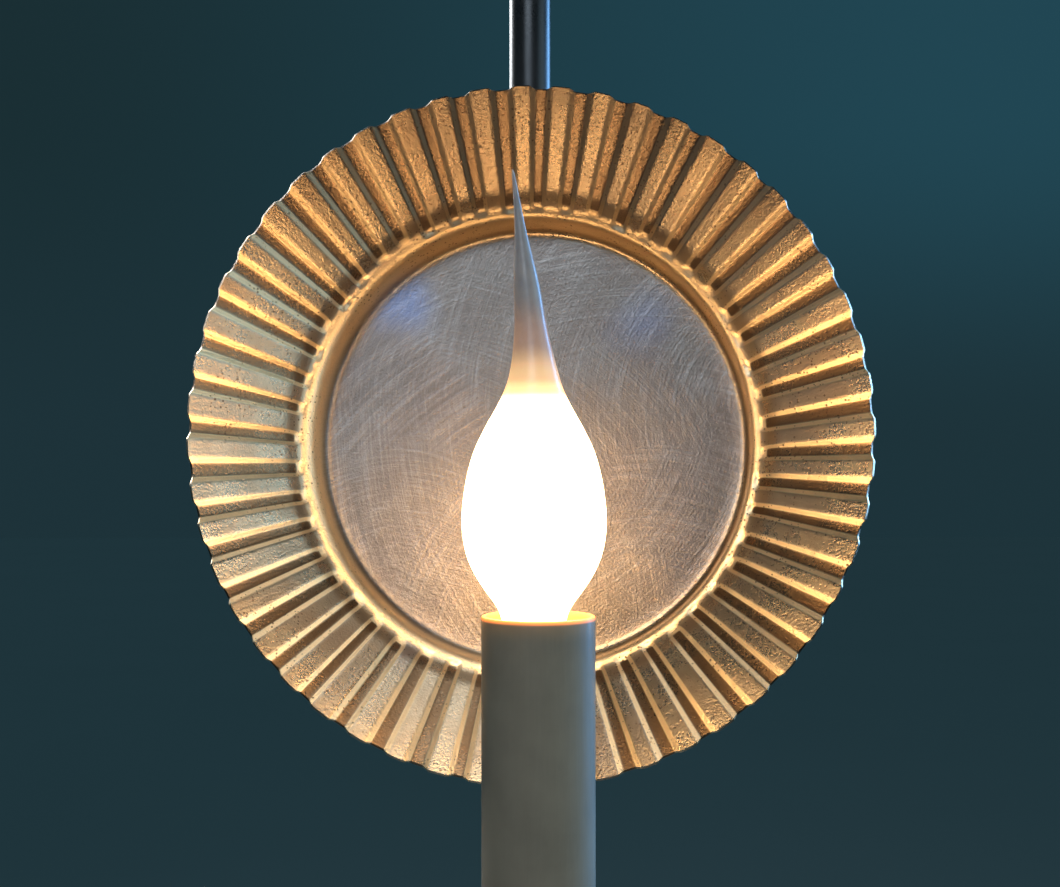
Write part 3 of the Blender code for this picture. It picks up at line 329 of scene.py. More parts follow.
def eased_copy(
    name: str,
    node: str,
    paint: Paint,
    width: float,
    body: Body = Body.FRAME,
    subdivide: int = 0,
    angle: float = 40.0,
) -> None:
    """A copy of a CAD node with its doubles merged, its flats whole and its edges rounded.

    Args:
        name: the new piece's name.
        node: the CAD node, which it replaces.
        paint: its material and slot.
        width: the rounding's width in millimetres.
        body: the body it rides on.
        subdivide: levels of smooth subdivision instead of rounding, for a wire.
        angle: the sharpest angle left alone, in degrees.
    """
    clear_hands()
    obj = bpy.data.objects.new(name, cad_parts[node].data.copy())
    bpy.context.scene.collection.objects.link(obj)
    obj.data.materials.clear()
    take(obj)
    edit_all()
    bpy.ops.mesh.remove_doubles(threshold=2.0 * MERGE)
    if subdivide:
        wide = math.radians(60.0)
        bpy.ops.mesh.tris_convert_to_quads(face_threshold=wide, shape_threshold=wide)
        done_editing()
        finer = obj.modifiers.new("finer", "SUBSURF")
        finer.levels = finer.render_levels = subdivide
        finish_modifier(obj, finer)
        smooth(obj, 60.0)
    else:
        bpy.ops.mesh.dissolve_limited(angle_limit=math.radians(0.6))
        done_editing()
        soften_edges(obj, width, 2, angle)
        smooth(obj, angle)
    keep(obj, body, paint, node)


def turned(
    name: str,
    node: str,
    paint: Paint,
    profile: Profile,
    pose: Matrix,
    steps: int = 72,
    ring: bool = True,
    body: Body = Body.FRAME,
    angle: float = 40.0,
    rounding: float = 0.0,
) -> None:
    """Spins a profile into a finished piece.

    Args:
        name: the piece's name.
        node: the CAD node it replaces.
        paint: its material and slot.
        profile: (radius, height) points in millimetres.
        pose: where it goes.
        steps: how many facets go round.
        ring: whether the profile closes on itself instead of on the axis.
        body: the body it rides on.
        angle: edges sharper than this stay crisp, in degrees.
        rounding: how wide its edges are rounded, in millimetres, or 0 for not at all.
    """
    obj = lathe(name, profile, pose, steps, ring)
    if rounding:
        soften_edges(obj, rounding, 2, 50.0)
    smooth(obj, angle)
    keep(obj, body, paint, node)


# Shader benches and shared effects


class Bench:
    """A node tree with short ways to place and join nodes."""

    def __init__(self, tree: bpy.types.NodeTree) -> None:
        """Takes an empty or new tree.

        Args:
            tree: the material's or the group's tree.
        """
        self.tree = tree

    def put(self, kind: str, **settings: object) -> bpy.types.Node:
        """Adds a node.

        Args:
            kind: its type name without the ShaderNode prefix.
            settings: attributes to set on it.

        Returns:
            The node.
        """
        node = self.tree.nodes.new("ShaderNode" + kind)
        for key, value in settings.items():
            setattr(node, key, value)
        return node

    def join(self, source: bpy.types.NodeSocket, target: bpy.types.NodeSocket) -> None:
        """Links an output to an input."""
        self.tree.links.new(source, target)

    def feed(self, target: bpy.types.NodeSocket, source: object) -> None:
        """Links a socket, or sets it to a plain value.

        Args:
            target: the input.
            source: an output socket, a number or a vector.
        """
        if isinstance(source, bpy.types.NodeSocket):
            self.join(source, target)
        else:
            target.default_value = source

    def math(
        self, operation: str, first: object, second: object = 0.0, clamp: bool = False
    ) -> bpy.types.NodeSocket:
        """One sum.

        Args:
            operation: the Math node's operation.
            first: the first value or socket.
            second: the second value or socket.
            clamp: whether the result is held to 0 and 1.

        Returns:
            The result.
        """
        node = self.put("Math", operation=operation, use_clamp=clamp)
        self.feed(node.inputs[0], first)
        self.feed(node.inputs[1], second)
        return node.outputs[0]

    def times(self, first: object, second: object, clamp: bool = False) -> bpy.types.NodeSocket:
        """The first times the second."""
        return self.math("MULTIPLY", first, second, clamp)

    def plus(self, first: object, second: object, clamp: bool = False) -> bpy.types.NodeSocket:
        """The first plus the second."""
        return self.math("ADD", first, second, clamp)

    def minus(self, first: object, second: object) -> bpy.types.NodeSocket:
        """The first less the second."""
        return self.math("SUBTRACT", first, second)

    def length(self, across: object, along: object) -> bpy.types.NodeSocket:
        """The length of a flat vector."""
        return self.math("SQRT", self.plus(self.times(across, across), self.times(along, along)))

    def split(self, vector: bpy.types.NodeSocket) -> Sequence[bpy.types.NodeSocket]:
        """The x, y and z of a vector."""
        node = self.put("SeparateXYZ")
        self.join(vector, node.inputs[0])
        return node.outputs

    def span(
        self, value: object, low: object, high: object, to_low: float = 0.0, to_high: float = 1.0
    ) -> bpy.types.NodeSocket:
        """A smooth step from one range to another.

        Args:
            value: the value or socket.
            low: where the range starts.
            high: where it ends.
            to_low: the result at its start.
            to_high: the result at its end.

        Returns:
            The result.
        """
        node = self.put("MapRange", interpolation_type="SMOOTHSTEP")
        for index, item in enumerate((value, low, high, to_low, to_high)):
            self.feed(node.inputs[index], item)
        return node.outputs[0]

    def mix(self, share: object, first: object, second: object) -> bpy.types.NodeSocket:
        """A blend of two colours.

        Args:
            share: how much of the second.
            first: a colour or socket.
            second: a colour or socket.

        Returns:
            The blended colour.
        """
        node = self.put("Mix", data_type="RGBA")
        self.feed(node.inputs[0], share)
        for socket, item in ((node.inputs[6], first), (node.inputs[7], second)):
            self.feed(socket, (*item, 1.0) if isinstance(item, tuple) else item)
        return node.outputs[2]

    def noise(
        self, vector: bpy.types.NodeSocket, scale: float, detail: float = 3.0, rough: float = 0.55
    ) -> bpy.types.NodeSocket:
        """Plain noise.

        Args:
            vector: where it is read.
            scale: how fine it is, per metre.
            detail: how many octaves.
            rough: how strong the finer octaves are.

        Returns:
            The noise, about 0 to 1.
        """
        node = self.put("TexNoise")
        self.join(vector, node.inputs["Vector"])
        self.feed(node.inputs["Scale"], scale)
        node.inputs["Detail"].default_value = detail
        node.inputs["Roughness"].default_value = rough
        return node.outputs["Fac"]

    def group(self, tree: bpy.types.NodeTree, **inputs: object) -> bpy.types.Node:
        """Places a shared effect.

        Args:
            tree: the effect's group.
            inputs: its inputs by name, with _ for a space.

        Returns:
            The group's node.
        """
        node = self.put("Group", node_tree=tree)
        for name, value in inputs.items():
            self.feed(node.inputs[name.replace("_", " ")], value)
        return node


@dataclass(frozen=True)
class Effect:
    """A shared effect: a node group that is built once.

    Attributes:
        name: the group's name.
        inputs: its inputs, name to socket type and default.
        outputs: its outputs.
        build: what fills it.
    """

    name: str
    inputs: tuple[tuple[str, str, Optional[float]], ...]
    outputs: tuple[str, ...]
    build: Callable[[Bench, bpy.types.Node, bpy.types.Node], None]

    def tree(self) -> bpy.types.NodeTree:
        """The group, made at its first use.

        Returns:
            The group's tree.
        """
        found = bpy.data.node_groups.get(self.name)
        if found:
            return found
        tree = bpy.data.node_groups.new(self.name, "ShaderNodeTree")
        for name, kind, default in self.inputs:
            socket = tree.interface.new_socket(name, in_out="INPUT", socket_type="NodeSocket" + kind)
            if default is not None:
                socket.default_value = default
        for name in self.outputs:
            tree.interface.new_socket(name, in_out="OUTPUT", socket_type="NodeSocketFloat")
        self.build(Bench(tree), tree.nodes.new("NodeGroupInput"), tree.nodes.new("NodeGroupOutput"))
        return tree


def build_edge_wear(bench: Bench, given: bpy.types.Node, out: bpy.types.Node) -> None:
    """Bare metal where an outer edge is rubbed, broken up by noise.

    Args:
        bench: the group's bench.
        given: its inputs.
        out: its outputs.
    """
    sharp = bench.put("NewGeometry").outputs["Pointiness"]
    rough = bench.noise(given.outputs["Vector"], 420.0, 4.0)
    lifted = bench.plus(sharp, bench.times(bench.minus(rough, 0.5), 0.10))
    start = bench.minus(0.60, bench.times(given.outputs["Amount"], 0.08))
    end = bench.plus(start, 0.05)
    bench.join(bench.span(lifted, start, end), out.inputs["Mask"])


def build_grain(bench: Bench, given: bpy.types.Node, out: bpy.types.Node) -> None:
    """Two sizes of unevenness, for roughness and for bump.

    Args:
        bench: the group's bench.
        given: its inputs.
        out: its outputs.
    """
    fine = bench.noise(given.outputs["Vector"], 1600.0, 4.0)
    broad = bench.noise(given.outputs["Vector"], 70.0, 3.0)
    both = bench.plus(bench.times(fine, 0.4), bench.times(broad, 0.6))
    bench.join(both, out.inputs["Mask"])
    bench.join(fine, out.inputs["Fine"])


def build_arc_marks(bench: Bench, given: bpy.types.Node, out: bpy.types.Node) -> None:
    """Long thin scratches that run in circles round a centre, as a buffing pad leaves them.

    Args:
        bench: the group's bench.
        given: its inputs.
        out: its outputs.
    """
    x, y, _ = bench.split(given.outputs["Vector"])
    across = bench.minus(x, given.outputs["Centre X"])
    along = bench.minus(y, given.outputs["Centre Y"])
    angle = bench.math("ARCTAN2", along, across)
    spot = bench.put("CombineXYZ")
    bench.join(bench.times(bench.length(across, along), given.outputs["Fineness"]), spot.inputs[0])
    bench.join(bench.times(angle, 2.6), spot.inputs[1])
    bench.join(given.outputs["Seed"], spot.inputs[2])
    marks = bench.noise(spot.outputs[0], 1.0, 5.0, 0.72)
    bench.join(bench.span(marks, 0.42, 0.66), out.inputs["Mask"])


def build_spots(bench: Bench, given: bpy.types.Node, out: bpy.types.Node) -> None:
    """Scattered round-ish spots with ragged edges.

    Args:
        bench: the group's bench.
        given: its inputs.
        out: its outputs.
    """
    wobble = bench.noise(given.outputs["Vector"], 900.0, 3.0)
    cells = bench.put("TexVoronoi", feature="F1")
    bench.join(given.outputs["Vector"], cells.inputs["Vector"])
    bench.join(given.outputs["Scale"], cells.inputs["Scale"])
    pick = bench.put("SeparateColor")
    bench.join(cells.outputs["Color"], pick.inputs[0])
    chosen = bench.math("LESS_THAN", pick.outputs[0], given.outputs["Share"])
    ragged = bench.plus(cells.outputs["Distance"], bench.times(bench.minus(wobble, 0.5), 0.35))
    size = bench.times(pick.outputs[1], given.outputs["Size"])
    inside = bench.span(ragged, size, bench.plus(size, 0.06), 1.0, 0.0)
    bench.join(bench.times(inside, chosen, True), out.inputs["Mask"])


def build_dust(bench: Bench, given: bpy.types.Node, out: bpy.types.Node) -> None:
    """A thin film on what faces up.

    Args:
        bench: the group's bench.
        given: its inputs.
        out: its outputs.
    """
    facing = bench.span(bench.split(bench.put("NewGeometry").outputs["Normal"])[2], 0.35, 1.0)
    cloud = bench.span(bench.noise(given.outputs["Vector"], 260.0, 5.0), 0.35, 0.75)
    film = bench.times(bench.times(facing, cloud), given.outputs["Amount"])
    bench.join(film, out.inputs["Mask"])


VECTOR_IN = ("Vector", "Vector", None)
EDGE_WEAR = Effect("edge_wear", (VECTOR_IN, ("Amount", "Float", 0.5)), ("Mask",), build_edge_wear)
GRAIN = Effect("grain", (VECTOR_IN,), ("Mask", "Fine"), build_grain)
ARC_INPUTS = (
    ("Centre X", "Float", 0.0), ("Centre Y", "Float", 0.0),
    ("Fineness", "Float", 1000.0), ("Seed", "Float", 0.0),
)
ARC_MARKS = Effect("arc_marks", (VECTOR_IN, *ARC_INPUTS), ("Mask",), build_arc_marks)
SPOT_INPUTS = (("Scale", "Float", 60.0), ("Size", "Float", 0.2), ("Share", "Float", 0.3))
SPOTS = Effect("spots", (VECTOR_IN, *SPOT_INPUTS), ("Mask",), build_spots)
DUST = Effect("dust", (VECTOR_IN, ("Amount", "Float", 0.3)), ("Mask",), build_dust)


# Finishes


def new_material(name: str) -> tuple[bpy.types.Material, Bench, bpy.types.Node, bpy.types.NodeSocket]:
    """An empty material with its shader and its object coordinates.

    Args:
        name: the material's name.

    Returns:
        The material, its bench, its shader and the coordinates.
    """
    material = bpy.data.materials.new(name)
    material.use_nodes = True
    bench = Bench(material.node_tree)
    shader = material.node_tree.nodes["Principled BSDF"]
    place = bench.put("TexCoord").outputs["Object"]
    return material, bench, shader, place


def add_bump(bench: Bench, shader: bpy.types.Node, height: object, strength: float, depth: float) -> None:
    """Feeds a height into the shader's normal.

    Args:
        bench: the material's bench.
        shader: its shader.
        height: the height socket.
        strength: how much of it counts.
        depth: its depth in metres.
    """
    bump = bench.put("Bump")
    bump.inputs["Strength"].default_value = strength
    bump.inputs["Distance"].default_value = depth
    bench.feed(bump.inputs["Height"], height)
    bench.join(bump.outputs["Normal"], shader.inputs["Normal"])


@dataclass(frozen=True)
class Enamel:
    """Black enamel over steel, a little uneven, rubbed through at its edges and dusty on top.

    Attributes:
        name: the material's name.
        colour: the paint.
        faded: the paint where it has gone grey.
        metal: what shows through.
        dust: the film on what faces up.
        wear: how far the edges are rubbed.
        gloss: the paint's roughness where it is smooth.
    """

    name: str
    colour: Colour = (0.011, 0.011, 0.012)
    faded: Colour = (0.020, 0.018, 0.017)
    metal: Colour = (0.16, 0.13, 0.11)
    dust: Colour = (0.20, 0.18, 0.16)
    wear: float = 0.4
    gloss: float = 0.24

    def material(self) -> bpy.types.Material:
        """Builds the material.

        Returns:
            The material.
        """
        material, bench, shader, place = new_material(self.name)
        grain = bench.group(GRAIN.tree(), Vector=place)
        worn = bench.group(EDGE_WEAR.tree(), Vector=place, Amount=self.wear).outputs["Mask"]
        dusty = bench.group(DUST.tree(), Vector=place, Amount=0.20).outputs["Mask"]
        tint = bench.mix(bench.span(grain.outputs["Mask"], 0.35, 0.70), self.colour, self.faded)
        tint = bench.mix(worn, tint, self.metal)
        tint = bench.mix(dusty, tint, self.dust)
        bench.join(tint, shader.inputs["Base Color"])
        rough = bench.span(grain.outputs["Mask"], 0.3, 0.75, self.gloss, self.gloss + 0.16)
        bench.join(bench.plus(rough, bench.times(dusty, 0.9), True), shader.inputs["Roughness"])
        bench.join(worn, shader.inputs["Metallic"])
        add_bump(bench, shader, grain.outputs["Mask"], 0.30, 0.00010)
        return material


@dataclass(frozen=True)
class PlainMetal:
    """A bare or plated metal with fine grain, tarnish and a little dust.

    Attributes:
        name: the material's name.
        bright: its clean colour.
        dull: its tarnished colour.
        gloss: its roughness where clean.
    """

    name: str
    bright: Colour
    dull: Colour
    gloss: float = 0.28

    def material(self) -> bpy.types.Material:
        """Builds the material.

        Returns:
            The material.
        """
        material, bench, shader, place = new_material(self.name)
        grain = bench.group(GRAIN.tree(), Vector=place)
        worn = bench.group(EDGE_WEAR.tree(), Vector=place, Amount=0.5).outputs["Mask"]
        tarnish = bench.span(grain.outputs["Mask"], 0.40, 0.66)
        tarnish = bench.times(tarnish, bench.minus(1.0, worn), True)
        bench.join(bench.mix(tarnish, self.bright, self.dull), shader.inputs["Base Color"])
        shader.inputs["Metallic"].default_value = 1.0
        rough = bench.span(grain.outputs["Mask"], 0.3, 0.7, self.gloss, self.gloss + 0.20)
        bench.join(rough, shader.inputs["Roughness"])
        add_bump(bench, shader, grain.outputs["Fine"], 0.25, 0.00006)
        return material


@dataclass(frozen=True)
class BuffedTin:
    """Tinned sheet: pitted on the flutes, buffed in arcs in the well, with blue patches, a few rust spots,
    painted highlights on the flute flanks and crest, and painted shade in the grooves and towards the top.

    Attributes:
        name: the material's name.
        centre: the plate's middle, in metres.
        lean: how far the plate leans back, in radians.
        fluted: whether the mesh carries the groove and crest attributes.
        bright, warm, cool: the sheet's own colours.
        worn: the well's colour.
        stroke: the buffing marks.
        rubbed_highlight: the high edges rubbed bright, with painted highlight on the flute flanks and crest.
        blue_patch_colour: the blue patches.
        top_shade, groove_shade: painted shade, towards the plate's top and in the groove floors; pit, rust:
            what darkens it.
        well: the well's radius, in metres.
        arcs: the buffing marks' centres in millimetres and how many there are in a metre.
        blue_patches: the blue patches' places and sizes in millimetres, and their strengths.
    """

    name: str
    centre: Point
    lean: float
    fluted: bool = True
    bright: Colour = (0.55, 0.445, 0.31)
    warm: Colour = (0.41, 0.29, 0.185)
    cool: Colour = (0.27, 0.28, 0.26)
    worn: Colour = (0.180, 0.152, 0.142)
    stroke: Colour = (0.62, 0.57, 0.52)
    # painted highlight colour, bright gold, for the flute flanks and the crest
    rubbed_highlight: Colour = (1.0, 0.75, 0.44)
    blue_patch_colour: Colour = (0.17, 0.23, 0.42)
    # painted shade colour, laid over the plate's upper part
    top_shade: Colour = (0.12, 0.085, 0.06)
    # painted shade colour for the groove floors
    groove_shade: Colour = (0.17, 0.095, 0.045)
    pit: Colour = (0.13, 0.08, 0.05)
    rust: Colour = (0.26, 0.10, 0.04)
    well: float = 54.4 * MM
    arcs: tuple[Point, ...] = (
        (-34.0, -44.0, 1150.0), (30.0, -62.0, 950.0), (66.0, 8.0, 1050.0), (-8.0, 12.0, 1300.0),
    )
    blue_patches: tuple[tuple[float, float, float, float], ...] = (
        (-36.0, 38.0, 16.0, 0.70),
        (30.0, 32.0, 13.0, 0.30),
        (-30.0, -52.0, 9.0, 0.3),
    )

    def material(self) -> bpy.types.Material:
        """Builds the material.

        Returns:
            The material.
        """
        material, bench, shader, place = new_material(self.name)
        local = bench.put("Mapping", vector_type="TEXTURE")
        bench.join(place, local.inputs["Vector"])
        local.inputs["Location"].default_value = self.centre
        local.inputs["Rotation"].default_value = (math.pi / 2 - self.lean, 0.0, 0.0)
        flat = local.outputs[0]
        x, y, _ = bench.split(flat)
        in_well = bench.span(bench.length(x, y), self.well - 0.5 * MM, self.well + 2.5 * MM, 1.0, 0.0)
        strokes = bench.times(self.buffing(bench, flat), bench.span(in_well, 0.0, 1.0, 0.15, 1.0))

        grain = bench.group(GRAIN.tree(), Vector=flat)
        cloud = bench.noise(flat, 34.0, 4.0, 0.6)
        tint = bench.mix(bench.span(cloud, 0.38, 0.66), self.bright, self.warm)
        cold = bench.times(bench.span(bench.noise(flat, 17.0, 3.0), 0.52, 0.70), 0.5)
        tint = bench.mix(cold, tint, self.cool)
        tint = bench.mix(bench.times(in_well, 0.85), tint, self.worn)
        if self.fluted:
            tint = self.lay_blue_patches(bench, flat, tint)
        tint = bench.mix(bench.times(strokes, bench.span(in_well, 0.0, 1.0, 0.2, 0.32)), tint, self.stroke)
        highlit = 0.0
        if self.fluted:
            # painted highlights on the flute flanks and crest, painted shade in the groove floors
            tint, highlit = self.paint_highlights_and_shade(bench, grain, tint)
            # painted shade: outside the well the plate darkens towards its top, up to 80% of the way to dark
            # brown
            upper_shade = bench.span(y, 8.0 * MM, 78.0 * MM, 0.0, 0.80)
            tint = bench.mix(bench.times(upper_shade, bench.minus(1.0, in_well)), tint, self.top_shade)

        pits = bench.group(SPOTS.tree(), Vector=flat, Scale=1250.0, Size=0.36, Share=0.60).outputs["Mask"]
        patchy = bench.span(bench.noise(flat, 48.0, 3.0), 0.38, 0.60)
        pits = bench.times(pits, bench.times(patchy, bench.span(in_well, 0.0, 1.0, 1.0, 0.2)))
        tint = bench.mix(bench.times(pits, 0.75), tint, self.pit)
        rust = bench.group(SPOTS.tree(), Vector=flat, Scale=72.0, Size=0.07, Share=0.13).outputs["Mask"]
        tint = bench.mix(bench.times(rust, 0.7), tint, self.rust)
        bench.join(tint, shader.inputs["Base Color"])

        rough = bench.span(grain.outputs["Mask"], 0.3, 0.7, 0.25, 0.33)
        for mask, change in ((highlit, 0.11), (in_well, 0.09), (strokes, -0.08), (pits, 0.20)):
            rough = bench.plus(rough, bench.times(mask, change))
        bench.join(bench.plus(rough, bench.times(rust, 0.30), True), shader.inputs["Roughness"])
        bench.join(bench.minus(1.0, bench.times(rust, 0.55)), shader.inputs["Metallic"])
        height = bench.times(strokes, 0.42)
        for mask, change in ((pits, -0.8), (grain.outputs["Fine"], 0.9), (cloud, 0.5)):
            height = bench.plus(height, bench.times(mask, change))
        add_bump(bench, shader, height, 0.6, 0.00020)
        return material

    def buffing(self, bench: Bench, flat: bpy.types.NodeSocket) -> bpy.types.NodeSocket:
        """Arcs round four centres, in patches that run into each other.

        Args:
            bench: the material's bench.
            flat: the plate's own coordinates.

        Returns:
            The mask of the strokes.
        """
        masks = []
        for index, (x, y, fineness) in enumerate(self.arcs):
            centre = {"Centre_X": x * MM, "Centre_Y": y * MM}
            arc = bench.group(ARC_MARKS.tree(), Vector=flat, **centre, Fineness=fineness, Seed=3.7 * index)
            masks.append(arc.outputs["Mask"])
        first = bench.mix(bench.span(bench.noise(flat, 26.0, 2.0), 0.42, 0.58), masks[0], masks[1])
        second = bench.mix(bench.span(bench.noise(flat, 19.0, 2.0), 0.45, 0.60), masks[2], masks[3])
        marks = bench.put("SeparateColor")
        bench.join(bench.mix(0.5, first, second), marks.inputs[0])
        return marks.outputs[0]

    def lay_blue_patches(
        self, bench: Bench, flat: bpy.types.NodeSocket, tint: bpy.types.NodeSocket
    ) -> bpy.types.NodeSocket:
        """Lays the blue patches, each with a ragged edge.

        Args:
            bench: the material's bench.
            flat: the plate's own coordinates.
            tint: the colour so far.

        Returns:
            The colour with the blue patches.
        """
        x, y, _ = bench.split(flat)
        ragged = bench.noise(flat, 60.0, 4.0)
        for middle_x, middle_y, width, share in self.blue_patches:
            size = width * MM
            away = bench.length(bench.minus(x, middle_x * MM), bench.minus(y, middle_y * MM))
            away = bench.plus(away, bench.times(ragged, size))
            tint = bench.mix(bench.span(away, 0.45 * size, 1.5 * size, share, 0.0), tint, self.blue_patch_colour)
        return tint

    def paint_highlights_and_shade(
        self, bench: Bench, grain: bpy.types.Node, tint: bpy.types.NodeSocket
    ) -> tuple[bpy.types.NodeSocket, bpy.types.NodeSocket]:
        """Paints the flute flanks and the crest bright, as rubbed metal and painted highlight, and paints
        shade into the groove floors.

        Args:
            bench: the material's bench.
            grain: the grain group.
            tint: the colour so far.

        Returns:
            The colour and the mask of what is painted bright.
        """
        groove = bench.put("Attribute", attribute_name="groove").outputs["Fac"]
        crest = bench.put("Attribute", attribute_name="crest").outputs["Fac"]
        flank = bench.times(groove, bench.minus(1.0, groove))
        # painted highlight mask: the groove flanks and the well's crest
        highlit = bench.math("MAXIMUM", bench.span(flank, 0.02, 0.16), crest)
        uneven = bench.span(grain.outputs["Mask"], 0.25, 0.60, 0.75, 1.0)
        tint = bench.mix(bench.times(highlit, uneven), tint, self.rubbed_highlight)
        patchy = bench.span(grain.outputs["Mask"], 0.2, 0.6, 0.65, 0.9)
        # painted shade: the groove floors turn dark brown, patchy with the grain
        return bench.mix(bench.times(bench.span(groove, 0.80, 0.98), patchy), tint, self.groove_shade), highlit


@dataclass(frozen=True)
class GlowingSilicone:
    """Milky silicone over a lit lamp: white-hot over the glass, amber above it, cool and clear in the tail.

    Attributes:
        name: the material's name.
        rim: the sleeve's rim, in metres up.
        power: the glow's strength over the glass.
        height: from the rim to the tip, in metres.
        milk: the silicone where it is thick.
        haze: the silicone where it is thin.
        glow: the glow's colours, by share of the height.
    """

    name: str
    rim: float
    power: float = 17.0
    height: float = 94.0 * MM
    milk: Colour = (0.32, 0.30, 0.285)
    haze: Colour = (0.26, 0.26, 0.26)
    glow: tuple[tuple[float, Colour], ...] = (
        (0.000, (0.70, 0.36, 0.12)),
        (0.045, (1.00, 0.64, 0.30)),
        (0.150, (1.00, 0.66, 0.32)),
        (0.450, (1.00, 0.63, 0.29)),
        (0.500, (0.11, 0.056, 0.021)),
        (0.530, (0.050, 0.028, 0.0100)),
        (0.610, (0.0135, 0.0060, 0.0024)),
        (0.720, (0.0030, 0.0022, 0.0018)),
        (1.000, (0.0012, 0.0012, 0.0013)),
    )

    def material(self) -> bpy.types.Material:
        """Builds the material.

        Returns:
            The material.
        """
        material, bench, shader, place = new_material(self.name)
        height = bench.minus(bench.split(place)[2], self.rim)
        ramp = bench.put("ValToRGB")
        ramp.color_ramp.interpolation = "EASE"
        points = ramp.color_ramp.elements
        points[0].position, points[1].position = self.glow[0][0], self.glow[-1][0]
        points[0].color, points[1].color = (*self.glow[0][1], 1.0), (*self.glow[-1][1], 1.0)
        for position, colour in self.glow[1:-1]:
            points.new(position).color = (*colour, 1.0)
        bench.join(bench.math("DIVIDE", height, self.height, True), ramp.inputs[0])
        bench.join(ramp.outputs[0], shader.inputs["Emission Color"])
        shader.inputs["Emission Strength"].default_value = self.power
        veil = bench.noise(place, 240.0, 3.0)
        milk = bench.mix(bench.span(veil, 0.35, 0.65), self.milk, self.haze)
        bench.join(milk, shader.inputs["Base Color"])
        bench.join(bench.span(veil, 0.3, 0.7, 0.30, 0.42), shader.inputs["Roughness"])
        shader.inputs["Subsurface Weight"].default_value = 0.35
        shader.inputs["Subsurface Radius"].default_value = (0.004, 0.0025, 0.0016)
        shader.inputs["Subsurface Scale"].default_value = 1.0
        shader.inputs["Coat Weight"].default_value = 0.15
        add_bump(bench, shader, veil, 0.25, 0.0002)
        return material


@dataclass(frozen=True)
class IvoryFibre:
    """The sleeve: ivory fibre tube, aged, faintly streaked, lit through at its rim.

    Attributes:
        name: the material's name.
        rim: the sleeve's rim, in metres up.
        centre: the sleeve's axis, in metres.
        bore: the radius inside which it glows, in metres.
        fibre, aged, streak, spot: the tube's own colours.
        rim_band: an orange-brown band near its rim.
        lit: the colour inside its bore.
        glow, glow_power: the light that its rim lets through.
    """

    name: str
    rim: float
    centre: tuple[float, float] = (0.9 * MM, -148.0 * MM)
    bore: float = 11.1 * MM
    fibre: Colour = (0.31, 0.245, 0.165)
    aged: Colour = (0.25, 0.198, 0.135)
    streak: Colour = (0.37, 0.30, 0.205)
    spot: Colour = (0.25, 0.20, 0.14)
    rim_band: Colour = (0.40, 0.24, 0.11)
    lit: Colour = (0.86, 0.34, 0.09)
    glow: Colour = (1.0, 0.25, 0.035)
    glow_power: float = 2.2

    def material(self) -> bpy.types.Material:
        """Builds the material.

        Returns:
            The material.
        """
        material, bench, shader, place = new_material(self.name)
        stretch = bench.put("Mapping")
        bench.join(place, stretch.inputs["Vector"])
        stretch.inputs["Scale"].default_value = (1.0, 1.0, 0.08)
        streaks = bench.noise(stretch.outputs[0], 900.0, 4.0)
        cloud = bench.noise(place, 60.0, 4.0)
        tint = bench.mix(bench.span(cloud, 0.35, 0.70), self.fibre, self.aged)
        tint = bench.mix(bench.times(bench.span(streaks, 0.4, 0.7), 0.15), tint, self.streak)
        marks = bench.group(SPOTS.tree(), Vector=place, Scale=160.0, Size=0.16, Share=0.12).outputs["Mask"]
        tint = bench.mix(bench.times(marks, 0.35), tint, self.spot)
        x, y, z = bench.split(place)
        down = bench.minus(self.rim, z)
        # an orange-brown band, strongest at the rim and gone 5 mm down
        tint = bench.mix(bench.span(down, 0.0, 5.0 * MM, 0.55, 0.0), tint, self.rim_band)
        away = bench.length(bench.minus(x, self.centre[0]), bench.minus(y, self.centre[1]))
        inside = bench.span(away, self.bore, self.bore + 0.4 * MM, 1.0, 0.0)
        bench.join(bench.mix(inside, tint, self.lit), shader.inputs["Base Color"])
        glow = bench.span(down, 0.0, 1.1 * MM, 1.0, 0.0)
        bench.join(bench.mix(glow, (0.0, 0.0, 0.0), self.glow), shader.inputs["Emission Color"])
        shader.inputs["Emission Strength"].default_value = self.glow_power
        bench.join(bench.span(streaks, 0.3, 0.7, 0.42, 0.55), shader.inputs["Roughness"])
        add_bump(bench, shader, bench.plus(streaks, bench.times(cloud, 0.8)), 0.35, 0.00012)
        return material


@dataclass(frozen=True)
class Moulded:
    """Moulded plastic, phenolic or wire insulation with a fine bloom.

    Attributes:
        name: the material's name.
        colour: its colour.
        bloom: the colour of its bloom.
        gloss: its roughness where clean.
        dust: the film on what faces up.
    """

    name: str
    colour: Colour
    bloom: Colour
    gloss: float = 0.38
    dust: Colour = (0.35, 0.32, 0.28)

    def material(self) -> bpy.types.Material:
        """Builds the material.

        Returns:
            The material.
        """
        material, bench, shader, place = new_material(self.name)
        grain = bench.group(GRAIN.tree(), Vector=place)
        dusty = bench.group(DUST.tree(), Vector=place, Amount=0.25).outputs["Mask"]
        tint = bench.mix(bench.span(grain.outputs["Mask"], 0.35, 0.7), self.colour, self.bloom)
        bench.join(bench.mix(dusty, tint, self.dust), shader.inputs["Base Color"])
        rough = bench.span(grain.outputs["Mask"], 0.3, 0.7, self.gloss, self.gloss + 0.15)
        bench.join(rough, shader.inputs["Roughness"])
        add_bump(bench, shader, grain.outputs["Mask"], 0.25, 0.0001)
        return material


